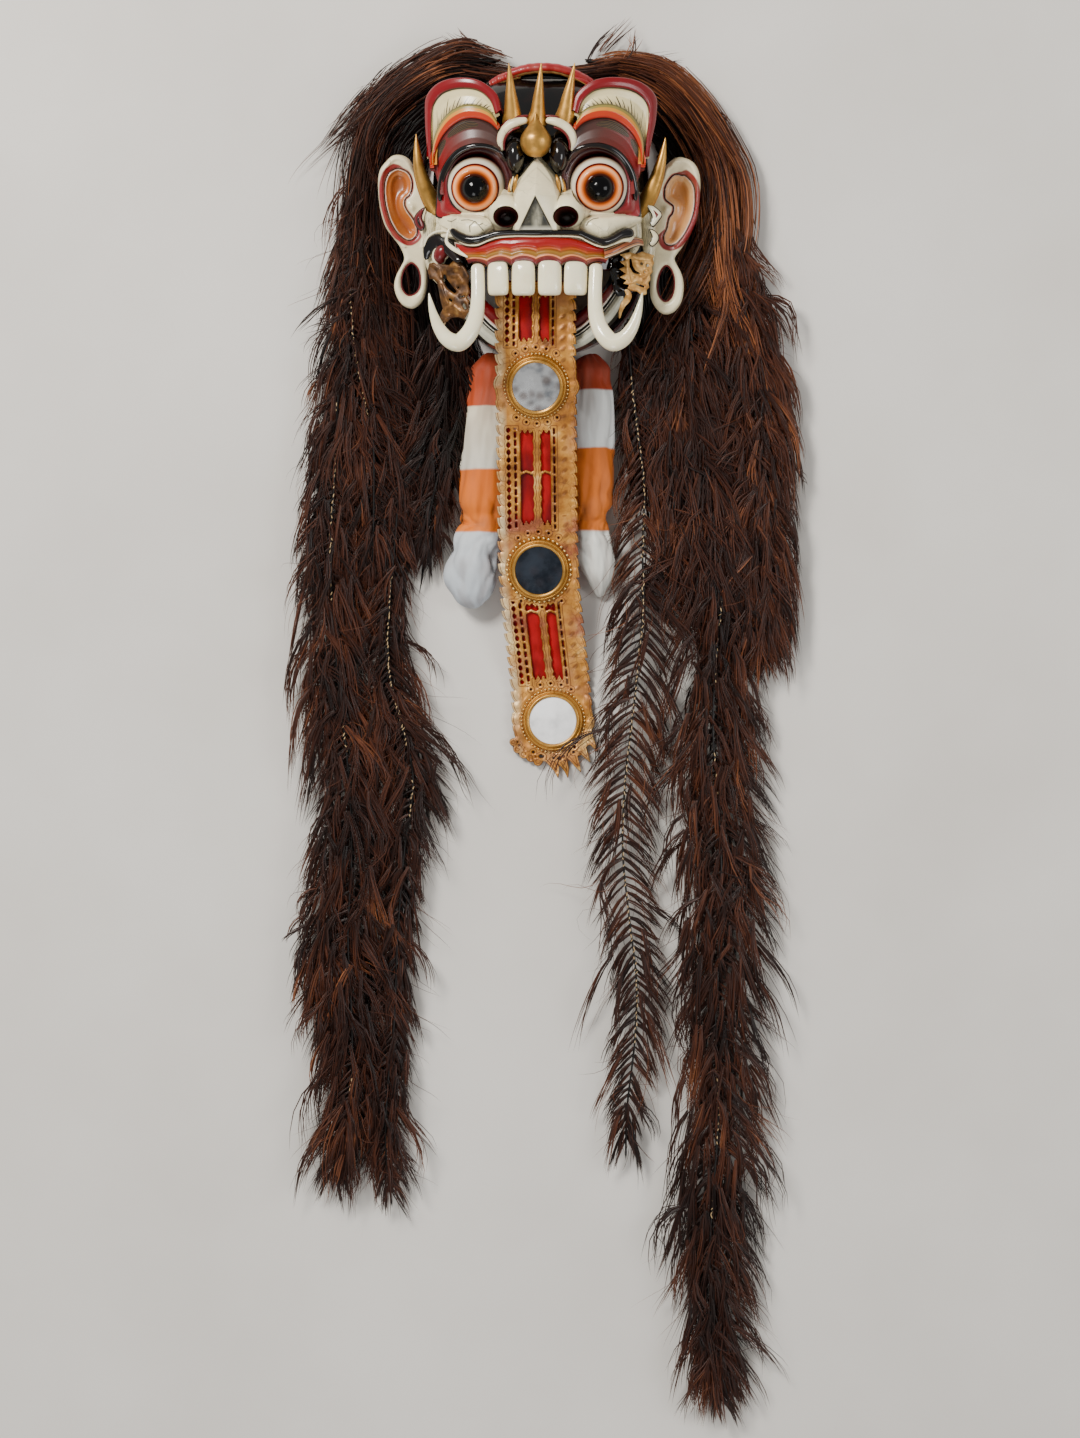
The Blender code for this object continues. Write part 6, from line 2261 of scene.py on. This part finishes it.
cheekHollows = {  # the dark hollows behind the gilding: corners round each
    "cheekHollowRight": [
        (82, -66), (90, -60), (108, -52), (121, -47), (124, -60), (122, -80), (114, -98), (100, -112), (88, -104),
        (83, -84),
    ],
    "cheekHollowLeft": [
        (-82, -64), (-96, -52), (-102, -36), (-110, -28), (-122, -25), (-130, -32), (-130, -50), (-126, -68),
        (-122, -84), (-112, -100), (-98, -112), (-88, -104), (-83, -84),
    ],
}


def goldPaint(name, tints):
    finish = Finish(name, "b98a55", 0.42, Metallic=0.35, Specular_IOR_Level=0.4)
    finish.set("Base Color", finish.ramp(finish.noise(90, 6), tints))
    finish.roughen(300, 0.28, 0.6, 0.35)
    finish.bump(finish.noise(700, 5), 0.25, 0.12)
    return finish


# one gilding in two copies: lit on the right, and on the left painted darker as painted shade
finishes["cheekRight"] = goldPaint(
    "litCheekGold", [(0.3, "8a5a28"), (0.45, "bc8a48"), (0.6, "d4a864"), (0.75, "ecc890")],
)
finishes["cheekLeft"] = goldPaint(
    "shadedCheekGold", [(0.3, "2a180b"), (0.45, "4c3015"), (0.6, "6e4820"), (0.78, "94703c")],
)


def goldHeight(x):
    # the gilding lies over the face's edge, which drops outwards
    return cheekGold["high"] - cheekGold["fall"] * (np.abs(x) - 92)


def makeCheekGold(side):
    data = cheekGold[side]

    def inside(x, y):
        cut = toOutline(x, y, data["body"])
        for hole in data["holes"]:
            cut = np.minimum(cut, -toStroke(x, y, hole))
        return cut

    def place(x, y, deep):
        rise = np.zeros(x.shape)
        for ridge in data["ridges"]:
            rise = np.maximum(rise, 1.1 * np.exp(-(np.minimum(toStroke(x, y, ridge), 0) / 0.9) ** 2))
        curl = 1.2 * np.sin(0.13 * y + 0.09 * x) - 1.6 * np.exp(-deep / 1.2)
        return x, y, goldHeight(x) + 5.5 + rise + curl

    sheet = cutSheet(f"cheekOrnament{side.title()}", boxed(data["body"]), 0.75, inside, place, 1.6)
    finished(sheet, f"cheek{side.title()}", "gilded_leather", f"cheek_ornament_{side}", 40)


def makeEarLeaves():
    # carved leaves beside the ear, and the hollows of the cheeks
    for name, (corners, paintsUsed) in earLeaves.items():
        outline = roundOutline(corners, 48)
        for part, inset, high, paint in zip(("Edge", "Face", "Hollow"), (0.0, 1.1, 3.6), (100, 101.2, 102), paintsUsed):
            def domed(x, y, deep):
                return x, y, high - 0.5 * (np.abs(x) - 130) + 1.6 * (1 - np.exp(-deep / 1.2))

            leaf = cutSheet(name + part, boxed(corners), 0.7, lambda x, y: toOutline(x, y, outline) - inset, domed, 5)
            finished(leaf, paint, angle=50)
    for name, corners in cheekHollows.items():
        outline = roundOutline(corners, 60)

        def sunken(x, y, deep):
            return x, y, goldHeight(x) - 10 - 4 * np.exp(-deep / 2.5) + 1.2 * np.sin(0.3 * y)

        hollow = cutSheet(name, boxed(corners), 1.5, lambda x, y: toOutline(x, y, outline), sunken, 8)
        finished(hollow, "black", angle=50)


for side in ("right", "left"):
    makeCheekGold(side)
# a curl of the lit gilding that hangs under the right one
curl = [(x, y, goldHeight(x) + 7 + 2 * math.sin(0.2 * y), size) for x, y, size in cheekGold["leaf"]]
finished(tube("cheekGoldLeaf", curl, 40, 14, (1, 0.35)), "cheekRight", "gilded_leather", "cheek_ornament_right", 50)
makeEarLeaves()
print("cheek ornaments made")

# the floor, light and camera

stand = {"distance": 9, "yaw": 2.6, "aim": (3.8, -597, 150), "frame": 1.654}  # in metres, degrees and millimetres


def areaLight(name, place, aim, size, power, tint=(1, 1, 1)):
    bpy.ops.object.light_add(type="AREA", location=place)
    light = bpy.context.object
    light.name = name
    light.data.energy = power
    light.data.size = size
    light.data.color = tint
    light.rotation_euler = (Vector(aim) - Vector(place)).to_track_quat("-Z", "Y").to_euler()


def makeStage():
    bpy.ops.object.select_all(action="DESELECT")
    bpy.ops.mesh.primitive_plane_add(size=12, location=(0, 0, -0.0005))
    floor = bpy.context.object
    floor.name = "floor"
    pale = Finish("paleFloor", "dcd8d2", 0.7)
    pale.set("Base Color", pale.mix(pale.between(pale.noise(3, 4), 0.35, 0.7), "dcd8d2", "d2cdc6"))
    floor.data.materials.append(pale.material)
    world = bpy.data.worlds.new("studio")
    bpy.context.scene.world = world
    world.use_nodes = True
    world.node_tree.nodes["Background"].inputs[0].default_value = (1, 0.98, 0.95, 1)
    world.node_tree.nodes["Background"].inputs[1].default_value = 0.42
    areaLight("key", (-1.5, 2.0, 2.6), (0, 0.2, 0), 0.9, 150, (1, 0.97, 0.92))
    areaLight("fill", (2.3, 0.2, 2.0), (0, 0.1, 0), 1.2, 30)
    areaLight("low", (-0.6, -2.6, 2.0), (0, -0.1, 0), 1.2, 26)
    aim = at(*stand["aim"])
    yaw = math.radians(stand["yaw"])
    bpy.ops.object.camera_add(location=aim + Vector((math.sin(yaw), 0, math.cos(yaw))) * stand["distance"])
    camera = bpy.context.object
    camera.rotation_euler = (0, yaw, 0)
    camera.data.sensor_fit = "VERTICAL"
    camera.data.sensor_height = 24
    camera.data.lens = 24 * stand["distance"] / stand["frame"]
    bpy.context.scene.camera = camera


makeStage()
